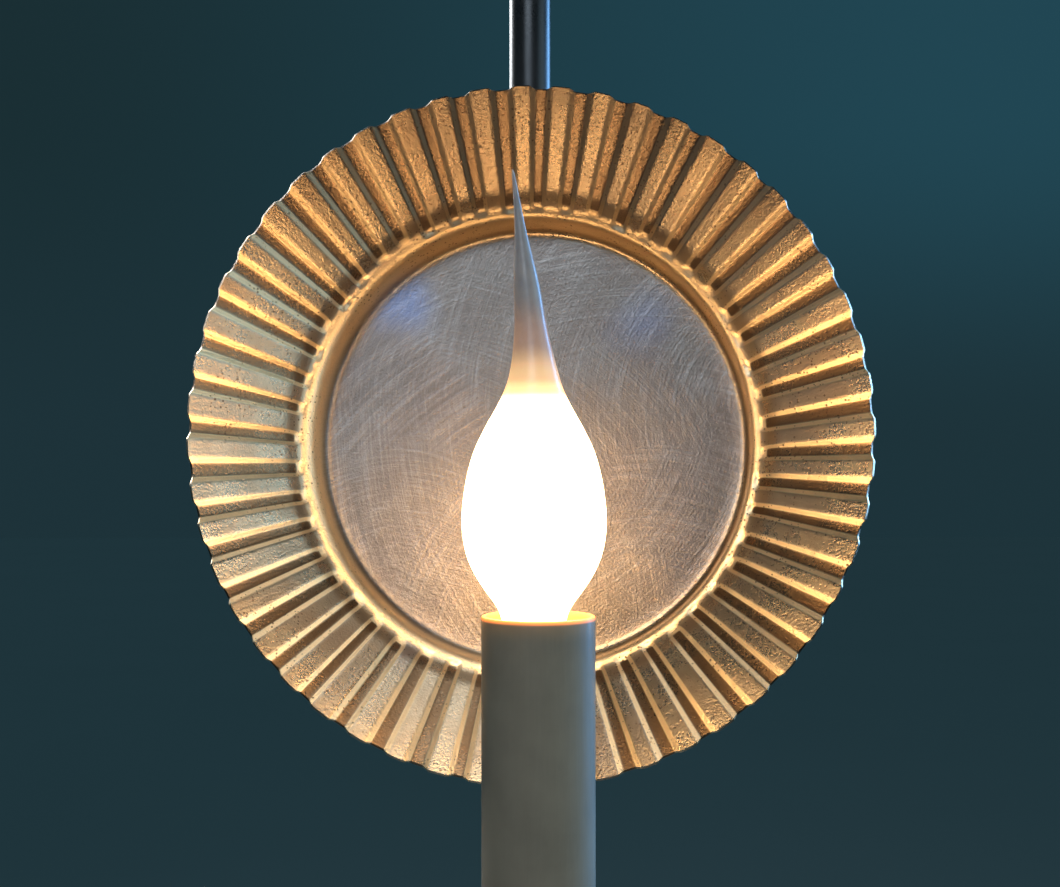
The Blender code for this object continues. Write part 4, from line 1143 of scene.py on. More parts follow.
@dataclass(frozen=True)
class LampGlass:
    """Clear glass with a faint haze."""

    name: str

    def material(self) -> bpy.types.Material:
        """Builds the material.

        Returns:
            The material.
        """
        material, bench, shader, place = new_material(self.name)
        shader.inputs["Transmission Weight"].default_value = 1.0
        shader.inputs["IOR"].default_value = 1.46
        haze = bench.noise(place, 300.0, 3.0)
        bench.join(bench.mix(haze, (0.96, 0.97, 0.98), (0.90, 0.92, 0.93)), shader.inputs["Base Color"])
        bench.join(bench.span(haze, 0.3, 0.7, 0.02, 0.10), shader.inputs["Roughness"])
        return material


@dataclass(frozen=True)
class HotWire:
    """The filament, at its working heat."""

    name: str

    def material(self) -> bpy.types.Material:
        """Builds the material.

        Returns:
            The material.
        """
        material, bench, shader, place = new_material(self.name)
        coil = bench.noise(place, 2600.0, 2.0)
        bench.join(bench.mix(coil, (1.0, 0.60, 0.25), (1.0, 0.80, 0.50)), shader.inputs["Emission Color"])
        shader.inputs["Emission Strength"].default_value = 30.0
        shader.inputs["Roughness"].default_value = 0.5
        return material


class Palette:
    """Every finish of the sconce, each made once."""

    def __init__(self, plate_centre: Point, lean: float, rim: float, pan_centre: Point) -> None:
        """Builds the materials.

        Args:
            plate_centre: the plate's middle, in metres.
            lean: how far the plate leans, in radians.
            rim: the sleeve's rim, in metres up.
            pan_centre: the drip pan's middle, in metres.
        """
        self.enamel = Paint("black_enamel", Enamel("black_enamel").material())
        metals = (
            ("steel", PlainMetal("zinc_plate", (0.60, 0.60, 0.61), (0.36, 0.35, 0.33), 0.30)),
            ("brass", PlainMetal("brass", (0.78, 0.56, 0.26), (0.42, 0.27, 0.11), 0.24)),
            ("nickel", PlainMetal("nickel", (0.68, 0.65, 0.60), (0.45, 0.41, 0.36), 0.22)),
            ("green_steel", PlainMetal("green_zinc", (0.07, 0.34, 0.13), (0.04, 0.18, 0.08), 0.34)),
        )
        self.steel, self.brass, self.nickel, self.green = (
            Paint(slot, metal.material()) for slot, metal in metals
        )
        self.tin = Paint("aged_tin", BuffedTin("buffed_tin", plate_centre, lean).material())
        pan_look = {
            "bright": (0.34, 0.31, 0.28), "warm": (0.24, 0.19, 0.15), "worn": (0.22, 0.20, 0.18),
            "well": 22.0 * MM,
        }
        pan_tin = BuffedTin("pan_tin", pan_centre, math.pi / 2, fluted=False, **pan_look)
        self.pan_tin = Paint("aged_tin", pan_tin.material())
        self.silicone = Paint("silicone", GlowingSilicone("glowing_silicone", rim).material())
        self.ivory = Paint("ivory_fibre", IvoryFibre("ivory_fibre", rim).material())
        moulded = (
            ("phenolic", Moulded("phenolic", (0.018, 0.015, 0.013), (0.040, 0.034, 0.028), 0.34)),
            ("orange_plastic", Moulded("orange_cap", (0.78, 0.25, 0.04), (0.60, 0.20, 0.05), 0.32)),
            ("black_wire", Moulded("black_insulation", (0.016, 0.016, 0.016), (0.040, 0.038, 0.036))),
            ("white_wire", Moulded("white_insulation", (0.72, 0.71, 0.68), (0.60, 0.58, 0.54))),
        )
        self.phenolic, self.orange, self.black_wire, self.white_wire = (
            Paint(slot, finish.material()) for slot, finish in moulded
        )
        self.glass = Paint("clear_glass", LampGlass("lamp_glass").material())
        self.filament = Paint("tungsten", HotWire("hot_filament").material())


# Sub-assemblies


def dress_nodes(paint: Paint, *nodes: str) -> None:
    """Gives CAD nodes a better material.

    Args:
        paint: the material.
        nodes: the nodes' names.
    """
    for node in nodes:
        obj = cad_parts[node]
        if not obj.material_slots:
            obj.data.materials.append(paint.material)
        for slot in obj.material_slots:
            slot.material = paint.material
        log.info("%s: CAD node in %s", node, paint.material.name)


@dataclass
class WallFixing:
    """The strap on the wall, the canopy over it and what holds them together. Sizes in millimetres."""

    palette: Palette
    radius: float = 60.0
    depth: float = 22.0
    wall: float = 1.2
    flat: float = 42.0
    rim: float = 5.0
    stud_x: float = 34.925
    collar_radius: float = 13.0
    collar_length: float = 9.0

    def build(self) -> None:
        """Builds every piece of the fixing."""
        self.canopy()
        self.collar()
        steel = self.palette.steel
        for word, side in (("left", -1.0), ("right", 1.0)):
            self.cap_nut(word, side)
            eased_copy(f"threaded_stud_{word}", f"canopy_stud_{word}", steel, 0.3)
            eased_copy(f"stud_jam_nut_{word}", f"jam_nut_{word}", steel, 0.25)
        eased_copy("slotted_strap", "mounting_strap", steel, 0.35, angle=32.0)
        eased_copy("nipple_lock_nut", "canopy_lock_nut", steel, 0.35)
        self.ground_screw()
        dress_nodes(steel, "lock_washer", "canopy_nipple")

    def canopy(self) -> None:
        """The stepped dome, open towards the wall, with three holes."""
        step = self.radius - 4.0
        waist = (step + self.flat) / 2
        outer = [
            (self.flat - 1.0, self.depth), (self.flat + 1.6, self.depth - 0.5),
            (waist - 1.2, self.depth - 1.8), (waist + 0.6, self.depth - 3.4), (step - 3.4, self.rim + 6.0),
            (step - 2.4, self.rim + 3.6), (step, self.rim + 1.5), (self.radius - 1.4, self.rim + 0.9),
            (self.radius - 0.35, self.rim + 0.3), (self.radius, self.rim - 0.8), (self.radius, 0.0),
        ]
        inner = [(x - self.wall, max(z - self.wall, 0.0)) for x, z in reversed(outer)]
        ends = [(NIPPLE_HOLE, self.depth - self.wall), (NIPPLE_HOLE, self.depth)]
        obj = lathe("canopy_dome", outer + inner + ends, Axis.FORWARD.pose((0.0, 0.0, 0.0)), 96, True)
        for side in (-1.0, 1.0):
            pose = Axis.FORWARD.pose((side * self.stud_x, 0.0, 0.0))
            carve(obj, bar("stud_hole", 2.3, self.depth - 3.0, self.depth + 1.0, pose, 32))
        smooth(obj, 36.0)
        keep(obj, Body.FRAME, self.palette.enamel, "canopy")

    def collar(self) -> None:
        """The turned collar between the canopy and the elbow."""
        back = self.depth + 0.3
        front = back + self.collar_length
        profile = [
            (8.2, front), (8.5, front - 1.4), (9.2, front - 3.2), (10.6, back + 4.0), (12.0, back + 3.2),
            (self.collar_radius - 0.2, back + 2.6), (self.collar_radius, back + 2.0),
            (self.collar_radius, back), (NIPPLE_HOLE, back), (NIPPLE_HOLE, front),
        ]
        pose = Axis.FORWARD.pose((0.0, 0.0, 0.0))
        turned("turned_collar", "canopy_collar", self.palette.enamel, profile, pose, rounding=0.25)

    def cap_nut(self, word: str, side: float) -> None:
        """An acorn nut with a domed end.

        Args:
            word: which side, for the name.
            side: -1 or 1.
        """
        base = self.depth + 0.3
        top = base + 8.0
        round_end = [t * math.pi / 16 for t in range(0, 9)]
        dome = [(4.0 * math.sin(turn), top - 4.0 + 4.0 * math.cos(turn)) for turn in round_end]
        foot = [
            (4.0, base + 3.6), (5.0, base + 3.0), (5.0, base),
            (2.3, base), (2.3, base + 5.0), (0.0, base + 5.0),
        ]
        pose = Axis.FORWARD.pose((side * self.stud_x, 0.0, 0.0))
        name, node, brass = f"acorn_nut_{word}", f"cap_nut_{word}", self.palette.brass
        turned(name, node, brass, dome + foot, pose, 48, False, angle=32.0, rounding=0.3)

    def ground_screw(self) -> None:
        """The green screw with its slot."""
        pose = Axis.FORWARD.pose((15.0, 0.0, 0.0))
        head = [(0.0, 4.2), (2.2, 4.1), (3.5, 3.5), (3.95, 2.6), (3.95, 2.3)]
        profile = head + [(1.9, 2.3), (1.9, 0.4), (0.0, 0.4)]
        obj = lathe("bonding_screw", profile, pose, 40)
        carve(obj, slab("slot", (-5.0, -0.45, 3.2), (5.0, 0.45, 6.0), pose))
        smooth(obj, 40.0)
        keep(obj, Body.FRAME, self.palette.green, "ground_screw")


@dataclass
class DropTube:
    """The elbow, the stem, its coupling, the J-shaped arm and the seat on its end. Sizes in millimetres."""

    palette: Palette
    stem_y: float = -46.0
    candle_y: float = -148.0
    radius: float = 5.55
    wall: float = 1.0
    stem_top: float = -6.3
    stem_bottom: float = -345.0
    bend_z: float = -362.0
    arm_top: float = -345.5
    elbow_radius: float = 8.2
    elbow_bend: float = 9.6
    elbow_drop: float = 17.0
    elbow_barrel: float = 14.4
    seat_top: float = -340.2

    def build(self) -> None:
        """Builds every piece of the tube."""
        self.elbow()
        pose = Axis.UP.pose((0.0, self.stem_y, 0.0))
        bore = self.radius - self.wall
        bottom = self.stem_bottom + 0.15
        tube = [(self.radius, self.stem_top), (self.radius, bottom), (bore, bottom), (bore, self.stem_top)]
        turned("drop_stem", "stem_tube", self.palette.enamel, tube, pose, angle=32.0, rounding=0.2)
        self.coupling()
        self.arm()
        self.seat()

    def elbow(self) -> None:
        """A cast elbow, swept round its corner, with a bead at each mouth."""
        clear_hands()
        radius = self.elbow_radius
        bend = self.elbow_bend
        mouth = self.elbow_drop - bend
        bpy.ops.mesh.primitive_circle_add(
            vertices=48, radius=radius * MM, fill_type="NOTHING", location=(0.0, 0.0, 0.0)
        )
        obj = bpy.context.active_object
        obj.name = "cast_elbow"
        edit_all()
        bpy.ops.mesh.extrude_region_move(TRANSFORM_OT_translate={"value": (0.0, 0.0, mouth * MM)})
        bpy.ops.mesh.spin(
            steps=16, angle=math.pi / 2, center=(0.0, bend * MM, mouth * MM), axis=(1.0, 0.0, 0.0)
        )
        barrel = self.elbow_barrel - bend
        bpy.ops.mesh.extrude_region_move(TRANSFORM_OT_translate={"value": (0.0, barrel * MM, 0.0)})
        self.thicken(obj, radius - TUBE_SOCKET)
        settle(obj, Matrix.Translation(Vector((0.0, self.stem_y, -self.elbow_drop)) * MM))
        soften_edges(obj, 0.7, 3, 50.0)
        smooth(obj, 40.0)
        keep(obj, Body.FRAME, self.palette.enamel, "elbow")

    def thicken(self, obj: bpy.types.Object, wall: float) -> None:
        """Closes what was swept and gives it a wall on its inside.

        Args:
            obj: the open sweep, still in edit mode.
            wall: the wall's thickness, in millimetres.
        """
        bpy.ops.mesh.select_all(action="SELECT")
        bpy.ops.mesh.remove_doubles(threshold=MERGE)
        bpy.ops.mesh.normals_make_consistent(inside=False)
        done_editing()
        shell = obj.modifiers.new("wall", "SOLIDIFY")
        shell.thickness = wall * MM
        shell.offset = -1.0
        finish_modifier(obj, shell)

    def coupling(self) -> None:
        """The threaded sleeve that joins stem and arm, with a bead in the middle."""
        profile = [
            (6.5, 9.0), (7.3, 8.6), (7.6, 7.8), (7.6, -7.8), (7.3, -8.6), (6.5, -9.0), (TUBE_SOCKET, -9.0),
            (TUBE_SOCKET, 9.0),
        ]
        pose = Axis.UP.pose((0.0, self.stem_y, self.stem_bottom))
        turned("tube_coupling", "stem_coupling", self.palette.enamel, profile, pose)

    def arm(self) -> None:
        """The J-shaped tube: a circle swept down, round and up."""
        clear_hands()
        middle = (self.stem_y + self.candle_y) / 2
        start = self.stem_bottom - 0.15
        bpy.ops.mesh.primitive_circle_add(
            vertices=48,
            radius=self.radius * MM,
            fill_type="NOTHING",
            location=(0.0, self.stem_y * MM, start * MM),
        )
        obj = bpy.context.active_object
        obj.name = "bent_arm"
        bpy.ops.object.transform_apply(location=True, rotation=True, scale=True)
        edit_all()
        drop = self.bend_z - start
        bpy.ops.mesh.extrude_region_move(TRANSFORM_OT_translate={"value": (0.0, 0.0, drop * MM)})
        bpy.ops.mesh.spin(
            steps=64, angle=math.pi, center=(0.0, middle * MM, self.bend_z * MM), axis=(1.0, 0.0, 0.0)
        )
        rise = self.arm_top - self.bend_z
        bpy.ops.mesh.extrude_region_move(TRANSFORM_OT_translate={"value": (0.0, 0.0, rise * MM)})
        self.thicken(obj, self.wall)
        smooth(obj, 40.0)
        keep(obj, Body.FRAME, self.palette.enamel, "candle_arm")

    def seat(self) -> None:
        """The turned seat on the arm's end."""
        top = self.seat_top
        profile = [
            (8.1, top), (8.5, top - 0.5), (8.5, top - 2.6), (8.0, top - 3.6), (7.2, top - 5.0),
            (7.0, top - 6.0), (7.0, top - 11.2), (6.6, top - 12.0), (TUBE_SOCKET, top - 12.0),
            (TUBE_SOCKET, top - 5.0), (NIPPLE_HOLE, top - 5.0), (NIPPLE_HOLE, top),
        ]
        pose = Axis.UP.pose((0.0, self.candle_y, 0.0))
        turned("arm_end_seat", "arm_seat", self.palette.enamel, profile, pose)
        dress_nodes(self.palette.steel, "arm_nipple")


@dataclass
class Candle:
    """The drip pan, the cup, the sleeve and the socket inside it. Sizes in millimetres."""

    palette: Palette
    candle_y: float = -148.0
    rim: float = -235.4
    length: float = 101.6
    radius: float = 12.0
    wall: float = 1.0
    shift: float = 0.9
    pan_radius: float = 40.0
    pan_floor: float = -339.1
    cup_floor: float = -337.3

    def build(self) -> None:
        """Builds every piece of the candle."""
        self.pan()
        self.cup()
        self.sleeve()
        dress_nodes(self.palette.steel, "socket_bracket", "bracket_screw", "foot_lock_nut")
        dress_nodes(self.palette.phenolic, "socket_body")
        screws = ("terminal_screw_left", "terminal_screw_right")
        dress_nodes(self.palette.brass, "socket_shell", "socket_contact", *screws)

    def pan(self) -> None:
        """The shallow tin dish, with a rolled and faintly wavy rim."""
        floor = self.pan_radius * 0.62
        outer = [
            (self.pan_radius - 0.5, 7.0), (self.pan_radius, 6.6), (self.pan_radius - 0.3, 6.0),
            (self.pan_radius - 2.4, 5.0), (self.pan_radius - 5.4, 2.9), (floor + 3.6, 0.7), (floor, -0.8),
            (NIPPLE_HOLE, -0.8), (NIPPLE_HOLE, 0.0), (floor - 0.3, 0.0), (floor + 3.2, 1.5),
            (self.pan_radius - 5.9, 3.8), (self.pan_radius - 2.6, 5.9),
        ]
        pose = Axis.UP.pose((0.0, self.candle_y, self.pan_floor))
        turned("drip_dish", "drip_pan", self.palette.pan_tin, outer, pose, 120, angle=50.0)

    def cup(self) -> None:
        """The cup round the sleeve's foot, beaded at its rim."""
        bore = self.radius + self.shift + 0.3
        outer = bore + 1.2
        profile = [
            (bore + 0.3, 14.0), (outer - 0.25, 13.9), (outer, 13.5), (outer, 12.4), (outer - 0.45, 12.0),
            (outer - 0.45, 4.4), (outer, 4.0), (outer, 1.6), (outer - 0.4, 0.2), (outer - 1.6, -1.2),
            (outer - 2.2, -1.5), (NIPPLE_HOLE, -1.5), (NIPPLE_HOLE, 0.0), (bore, 0.0), (bore, 13.7),
        ]
        pose = Axis.UP.pose((0.0, self.candle_y, self.cup_floor))
        turned("sleeve_cup", "candle_cup", self.palette.enamel, profile, pose, 96)

    def sleeve(self) -> None:
        """The sleeve: a rolled fibre tube, slightly uneven along its length."""
        base = self.rim - self.length
        inner = self.radius - self.wall
        rolled = ((0.28, 0.0), (0.08, 0.12), (0.0, 0.4))
        outer = [(self.radius - back, self.rim - down) for back, down in rolled]
        outer += [(self.radius, self.rim - self.length * t / 24) for t in range(1, 24)]
        outer += [(self.radius, base + 0.3), (self.radius - 0.2, base)]
        inside = [(inner, base)] + [(inner + back, self.rim - down) for back, down in reversed(rolled)]
        obj = lathe("fibre_sleeve", outer + inside, Axis.UP.pose((self.shift, self.candle_y, 0.0)), 96, True)
        centre = Vector((self.shift, self.candle_y, 0.0)) * MM
        for vert in obj.data.vertices:
            out = vert.co - centre
            out.z = 0.0
            if out.length > (self.radius - 0.5) * MM:
                bump = noise.noise(Vector((vert.co.x * 60.0, vert.co.y * 60.0, vert.co.z * 25.0)))
                vert.co -= out.normalized() * (0.04 + 0.04 * bump) * MM
        smooth(obj, 40.0)
        keep(obj, Body.SLEEVE, self.palette.ivory, "candle_sleeve")


@dataclass
class Lamp:
    """The lit lamp: a silicone coat with a long leaning tip over the glass. Sizes in millimetres."""

    palette: Palette
    candle_y: float = -148.0
    rim: float = -235.4
    height: float = 93.5
    lean: float = 4.5
    lean_start: float = 50.0
    foot: float = -5.7
    stations: list[tuple[float, float]] = field(
        default_factory=lambda: [
            (0.30, 92.5), (0.60, 88.0), (1.15, 81.5), (1.80, 76.0), (2.45, 71.5), (2.95, 66.5),
            (3.30, 61.5), (4.00, 56.5), (4.85, 52.0), (6.00, 47.8), (7.90, 43.6), (10.20, 39.5),
            (12.60, 34.4), (14.20, 28.6), (15.05, 22.5), (15.10, 18.0), (14.30, 13.2), (12.60, 9.0),
            (10.20, 5.2), (8.50, 2.9), (7.40, 1.0), (6.80, -1.0), (6.35, -3.2),
        ]
    )

    def build(self) -> None:
        """Builds the coat and dresses what is inside it."""
        self.coat()
        supports = ("filament_support_left", "filament_support_right")
        dress_nodes(self.palette.glass, "bulb_glass", "bulb_mount")
        dress_nodes(self.palette.nickel, "bulb_cap", "bulb_contact", *supports)
        dress_nodes(self.palette.phenolic, "bulb_insulator")
        dress_nodes(self.palette.filament, "filament")

    def outline(self) -> list[tuple[float, float]]:
        """The coat's outer side as a smooth curve through its stations.

        Returns:
            (radius, height above the rim) points, from the tip down.
        """
        knots = [(0.0, self.height)] + self.stations + [(6.15, self.foot)]
        points: list[tuple[float, float]] = []
        for index in range(len(knots) - 1):
            before = knots[max(index - 1, 0)]
            start, end = knots[index], knots[index + 1]
            after = knots[min(index + 2, len(knots) - 1)]
            for step in range(4):
                t = step / 4
                weights = (
                    -0.5 * t + t * t - 0.5 * t**3,
                    1.0 - 2.5 * t * t + 1.5 * t**3,
                    0.5 * t + 2.0 * t * t - 1.5 * t**3,
                    -0.5 * t * t + 0.5 * t**3,
                )
                radius = sum(w * k[0] for w, k in zip(weights, (before, start, end, after)))
                level = sum(w * k[1] for w, k in zip(weights, (before, start, end, after)))
                points.append((max(radius, 0.0), level))
        points[0] = (0.0, self.height)
        return points + [knots[-1]]

    def coat(self) -> None:
        """The dipped coat, drawn out into a tip that leans to one side."""
        outer = self.outline()
        inner = [(radius - 0.7, level) for radius, level in outer if level < 46.0 and radius > 1.4]
        shell = outer + inner[::-1] + [(0.0, 48.6)]
        profile = [(radius, level + self.rim) for radius, level in shell]
        obj = lathe("dipped_coat", profile, Axis.UP.pose((0.0, self.candle_y, 0.0)), 80)
        for vert in obj.data.vertices:
            level = vert.co.z / MM - self.rim
            share = (level - self.lean_start) / (self.height - self.lean_start)
            if share > 0.0:
                vert.co.x -= self.lean * share**1.3 * MM
        smooth(obj, 60.0)
        keep(obj, Body.LAMP, self.palette.silicone, "silicone_coat")


@dataclass
class TinPlate:
    """The fluted plate with its rivets and bracket. Sizes in millimetres."""

    palette: Palette
    pin: Point = (0.0, -58.5, -200.358)
    reach: float = 7.5
    lean: float = math.radians(8.0)
    radius: float = 82.5
    ovality: float = 1.03
    wall: float = 0.8
    well: float = 54.6
    well_shift: float = 1.5
    shoulder: float = 57.0
    shoulder_height: float = 9.3
    rim_height: float = 31.0
    flutes: int = 51
    per_flute: int = 16
    cone_start: float = 62.0
    flute_depth: float = 1.1
    flute_start: float = 57.4
    scallop: float = 0.25
    floor_share: float = 0.11
    groove_share: float = 0.30

    def knuckle_pose(self) -> Matrix:
        """The matrix of the leaning knuckle at the tilt screw.

        Returns:
            The matrix.
        """
        return Matrix.Translation(Vector(self.pin) * MM) @ Matrix.Rotation(-self.lean, 4, "X")

    def plate_pose(self) -> Matrix:
        """The matrix that puts a plate drawn face up into place.

        Returns:
            The matrix.
        """
        return self.knuckle_pose() @ Axis.FORWARD.pose((0.0, -self.reach, 0.0))

    def build(self) -> None:
        """Builds every piece that tilts."""
        self.plate()
        for word, height in (("lower", -10.0), ("upper", 10.0)):
            self.rivet(word, height)
        eased_copy("riveted_bracket", "reflector_bracket", self.palette.enamel, 0.3, Body.PLATE)

    def section(self) -> list[tuple[float, float]]:
        """The plate's section before it is fluted, from the rim to the middle.

        Returns:
            (radius, height) points.
        """
        slope = (self.rim_height - self.shoulder_height) / (self.radius - self.shoulder)
        points = []
        rings = 24
        for step in range(rings + 1):
            radius = self.radius - (self.radius - self.cone_start) * step / rings
            points.append((radius, self.shoulder_height + slope * (radius - self.shoulder)))
        points += [(61.0, 12.35), (60.2, 11.25), (59.5, 10.3), (58.8, 9.6), (58.2, 9.2), (57.6, 8.98)]
        points += [(57.1, 8.75)]
        points += [(56.6, 8.35), (56.2, 7.75), (55.9, 6.9), (55.65, 5.7), (55.45, 4.4), (55.25, 3.0)]
        points += [(55.0, 1.5)]
        points += [(54.6, 0.6), (54.0, 0.18)]
        points += [(radius, 0.0) for radius in (53.0, 50.0, 46.0, 41.0, 34.0, 26.0, 18.0, 9.0, 0.0)]
        return points

    def plate(self) -> None:
        """Spins the section, presses the flutes in and gives the sheet its thickness."""
        steps = self.flutes * self.per_flute
        obj = lathe("fluted_plate", self.section(), Matrix.Identity(4), steps)
        draw = random.Random(51)
        offset = [draw.uniform(-0.035, 0.035) for _ in range(self.flutes)]
        depth = [draw.uniform(0.82, 1.12) for _ in range(self.flutes)]
        width = [draw.uniform(0.90, 1.12) for _ in range(self.flutes)]
        start = [draw.uniform(-0.5, 0.9) for _ in range(self.flutes)]
        twist = [draw.uniform(-0.18, 0.18) for _ in range(self.flutes)]
        mesh = obj.data
        grooves = mesh.attributes.new("groove", "FLOAT", "POINT")
        crests = mesh.attributes.new("crest", "FLOAT", "POINT")
        pitch = TURN / self.flutes
        for index, vert in enumerate(mesh.vertices):
            x, y, z = (value / MM for value in vert.co)
            radius = math.hypot(x, y)
            angle = math.atan2(y, x) % TURN
            place = angle / pitch
            slot = int(place) % self.flutes
            away = abs(place - int(place) - 0.5 - offset[slot])
            floor = self.floor_share * width[slot]
            edge = self.groove_share * width[slot]
            groove = 1.0 - ease((away - floor) / (edge - floor))
            reach = ease((radius - self.flute_start - start[slot]) / 2.4)
            crest = ease((radius - self.well) / 1.0) * (1.0 - ease((radius - self.shoulder) / 3.0))
            share = max(0.0, (radius - self.flute_start) / (self.radius - self.flute_start))
            sink = self.flute_depth * depth[slot] * groove * (0.62 + 0.38 * share) * reach
            across = (place + 0.5) % 1.0 - 0.5
            panel = int(place + 0.5) % self.flutes
            lean = twist[panel] * across * 2.0 * (1.0 - groove) * share * reach
            z += lean - sink
            if radius > self.flute_start:
                radius += self.scallop * share * (1.0 - 2.0 * groove) * reach
                x, y = radius * math.cos(angle), radius * math.sin(angle)
            z += noise.noise(Vector((x * 0.045, y * 0.045, 3.1))) * 0.15
            z += noise.noise(Vector((x * 0.14, y * 0.14, 7.7))) * 0.03
            pressed = 1.0 - ease((radius - self.well) / (self.shoulder - self.well))
            x += self.well_shift * pressed
            y *= self.ovality
            vert.co = Vector((x, y, z)) * MM
            grooves.data[index].value = groove * reach
            crests.data[index].value = crest
        take(obj)
        if min(mesh.polygons, key=lambda face: face.center.xy.length).normal.z < 0.0:
            edit_all()
            bpy.ops.mesh.flip_normals()
            done_editing()
        sheet = obj.modifiers.new("sheet", "SOLIDIFY")
        sheet.thickness = self.wall * MM
        sheet.offset = -1.0
        finish_modifier(obj, sheet)
        settle(obj, self.plate_pose())
        smooth(obj, 50.0)
        keep(obj, Body.PLATE, self.palette.tin, "reflector")

    def rivet(self, word: str, height: float) -> None:
        """A dome head on the face and a flat clinch behind.

        Args:
            word: which rivet, for the name.
            height: its place up the bracket.
        """
        face = self.reach + 0.3
        clinch = 4.7
        quarter = [t * math.pi / 14 for t in range(0, 8)]
        dome = [(3.2 * math.sin(turn), face + 0.25 + 1.1 * math.cos(turn)) for turn in quarter]
        shank = [(3.2, face), (1.6, face), (1.6, clinch)]
        tail = [(2.7, clinch), (2.7, clinch - 1.0), (0.0, clinch - 1.0)]
        pose = self.knuckle_pose() @ Axis.FORWARD.pose((0.0, 0.0, height))
        name, node, steel = f"plate_rivet_{word}", f"reflector_rivet_{word}", self.palette.steel
        turned(name, node, steel, dome + shank + tail, pose, 40, False, Body.PLATE)


@dataclass
class Knuckle:
    """The two-part clamp on the stem, its screws, the tilt screw and the thumb nut. Sizes in millimetres."""

    palette: Palette
    pin: Point = (0.0, -58.5, -200.358)
    stem_y: float = -46.0
    nut_radius: float = 5.0
    nut_start: float = 5.0
    nut_end: float = 11.0
    knurls: int = 28

    def build(self) -> None:
        """Builds every piece of the knuckle."""
        for half in ("front", "rear"):
            eased_copy(f"stem_clamp_{half}", f"clamp_{half}", self.palette.enamel, 0.35)
        for word, side in (("left", -1.0), ("right", 1.0)):
            head = Axis.FORWARD.pose((side * 11.5, self.stem_y - 3.0, self.pin[2]))
            self.screw(f"saddle_screw_{word}", 1.5, 9.6, 2.8, 1.8, head, f"clamp_screw_{word}")
            eased_copy(f"saddle_nut_{word}", f"clamp_nut_{word}", self.palette.steel, 0.25)
        head = Axis.LEFT.pose((-5.0, self.pin[1], self.pin[2]))
        self.screw("knuckle_screw", 1.5, 16.8, 3.0, 1.8, head, "tilt_screw")
        self.thumb_nut()

    def screw(
        self, name: str, shaft: float, length: float, head: float, rise: float, pose: Matrix, node: str
    ) -> None:
        """A round-headed slotted screw.

        Args:
            name: the piece's name.
            shaft: its shaft's radius.
            length: its length under the head.
            head: its head's radius.
            rise: its head's height.
            pose: where the head's seat is, with the head on +Z.
            node: the CAD node it stands for.
        """
        quarter = [t * math.pi / 14 for t in range(0, 8)]
        dome = [(head * math.sin(turn), rise * 0.12 + rise * 0.88 * math.cos(turn)) for turn in quarter]
        end = [(shaft, 0.0), (shaft, -length + 0.4), (shaft - 0.35, -length), (0.0, -length)]
        obj = lathe(name, dome + [(head, 0.0)] + end, pose, 40)
        carve(obj, slab("slot", (-head - 1.0, -0.4, rise * 0.45), (head + 1.0, 0.4, rise + 2.0), pose))
        smooth(obj, 40.0)
        keep(obj, Body.FRAME, self.palette.steel, node)

    def thumb_nut(self) -> None:
        """The thumb nut, knurled all round."""
        outer = self.nut_radius
        neck = outer - 1.6
        profile = [
            (neck, self.nut_end), (outer - 0.7, self.nut_end), (outer, self.nut_end - 0.5),
            (outer, self.nut_start + 2.4), (neck, self.nut_start + 1.8), (neck, self.nut_start),
            (1.8, self.nut_start), (1.8, self.nut_end),
        ]
        obj = lathe("knurled_nut", profile, Matrix.Identity(4), self.knurls * 4, True)
        rib(obj, self.knurls, 0.035, lambda flat, level: flat > outer - 0.9)
        settle(obj, Axis.RIGHT.pose(self.pin))
        smooth(obj, 30.0)
        keep(obj, Body.NUT, self.palette.enamel, "thumb_nut")


@dataclass
class Wiring:
    """The two leads and the caps on their ends. Sizes in millimetres."""

    palette: Palette
    nut_x: float = 13.0
    nut_y: float = -9.5
    nut_z: float = 20.0

    def build(self) -> None:
        """Builds the leads and their caps."""
        for word, paint in (("left", self.palette.black_wire), ("right", self.palette.white_wire)):
            eased_copy(f"insulated_lead_{word}", f"lead_wire_{word}", paint, 0.0, subdivide=1)
        for word, side in (("left", -1.0), ("right", 1.0)):
            self.cap(word, side)

    def cap(self, word: str, side: float) -> None:
        """A ribbed screw-on cap.

        Args:
            word: which side, for the name.
            side: -1 or 1.
        """
        profile = [
            (0.0, 18.0), (2.5, 18.0), (3.3, 17.4), (3.6, 16.6), (4.0, 11.0), (4.6, 5.0), (5.0, 3.2),
            (5.0, 0.2), (4.8, 0.0), (1.3, 0.0), (1.3, 8.6), (0.0, 8.6),
        ]
        obj = lathe(f"screw_on_cap_{word}", profile, Matrix.Identity(4), 96)
        rib(obj, 16, 0.05, lambda flat, level: 3.5 < level < 16.8 and flat > 3.0)
        settle(obj, Axis.UP.pose((side * self.nut_x, self.nut_y, self.nut_z)))
        smooth(obj, 40.0)
        keep(obj, Body.FRAME, self.palette.orange, f"wire_nut_{word}")


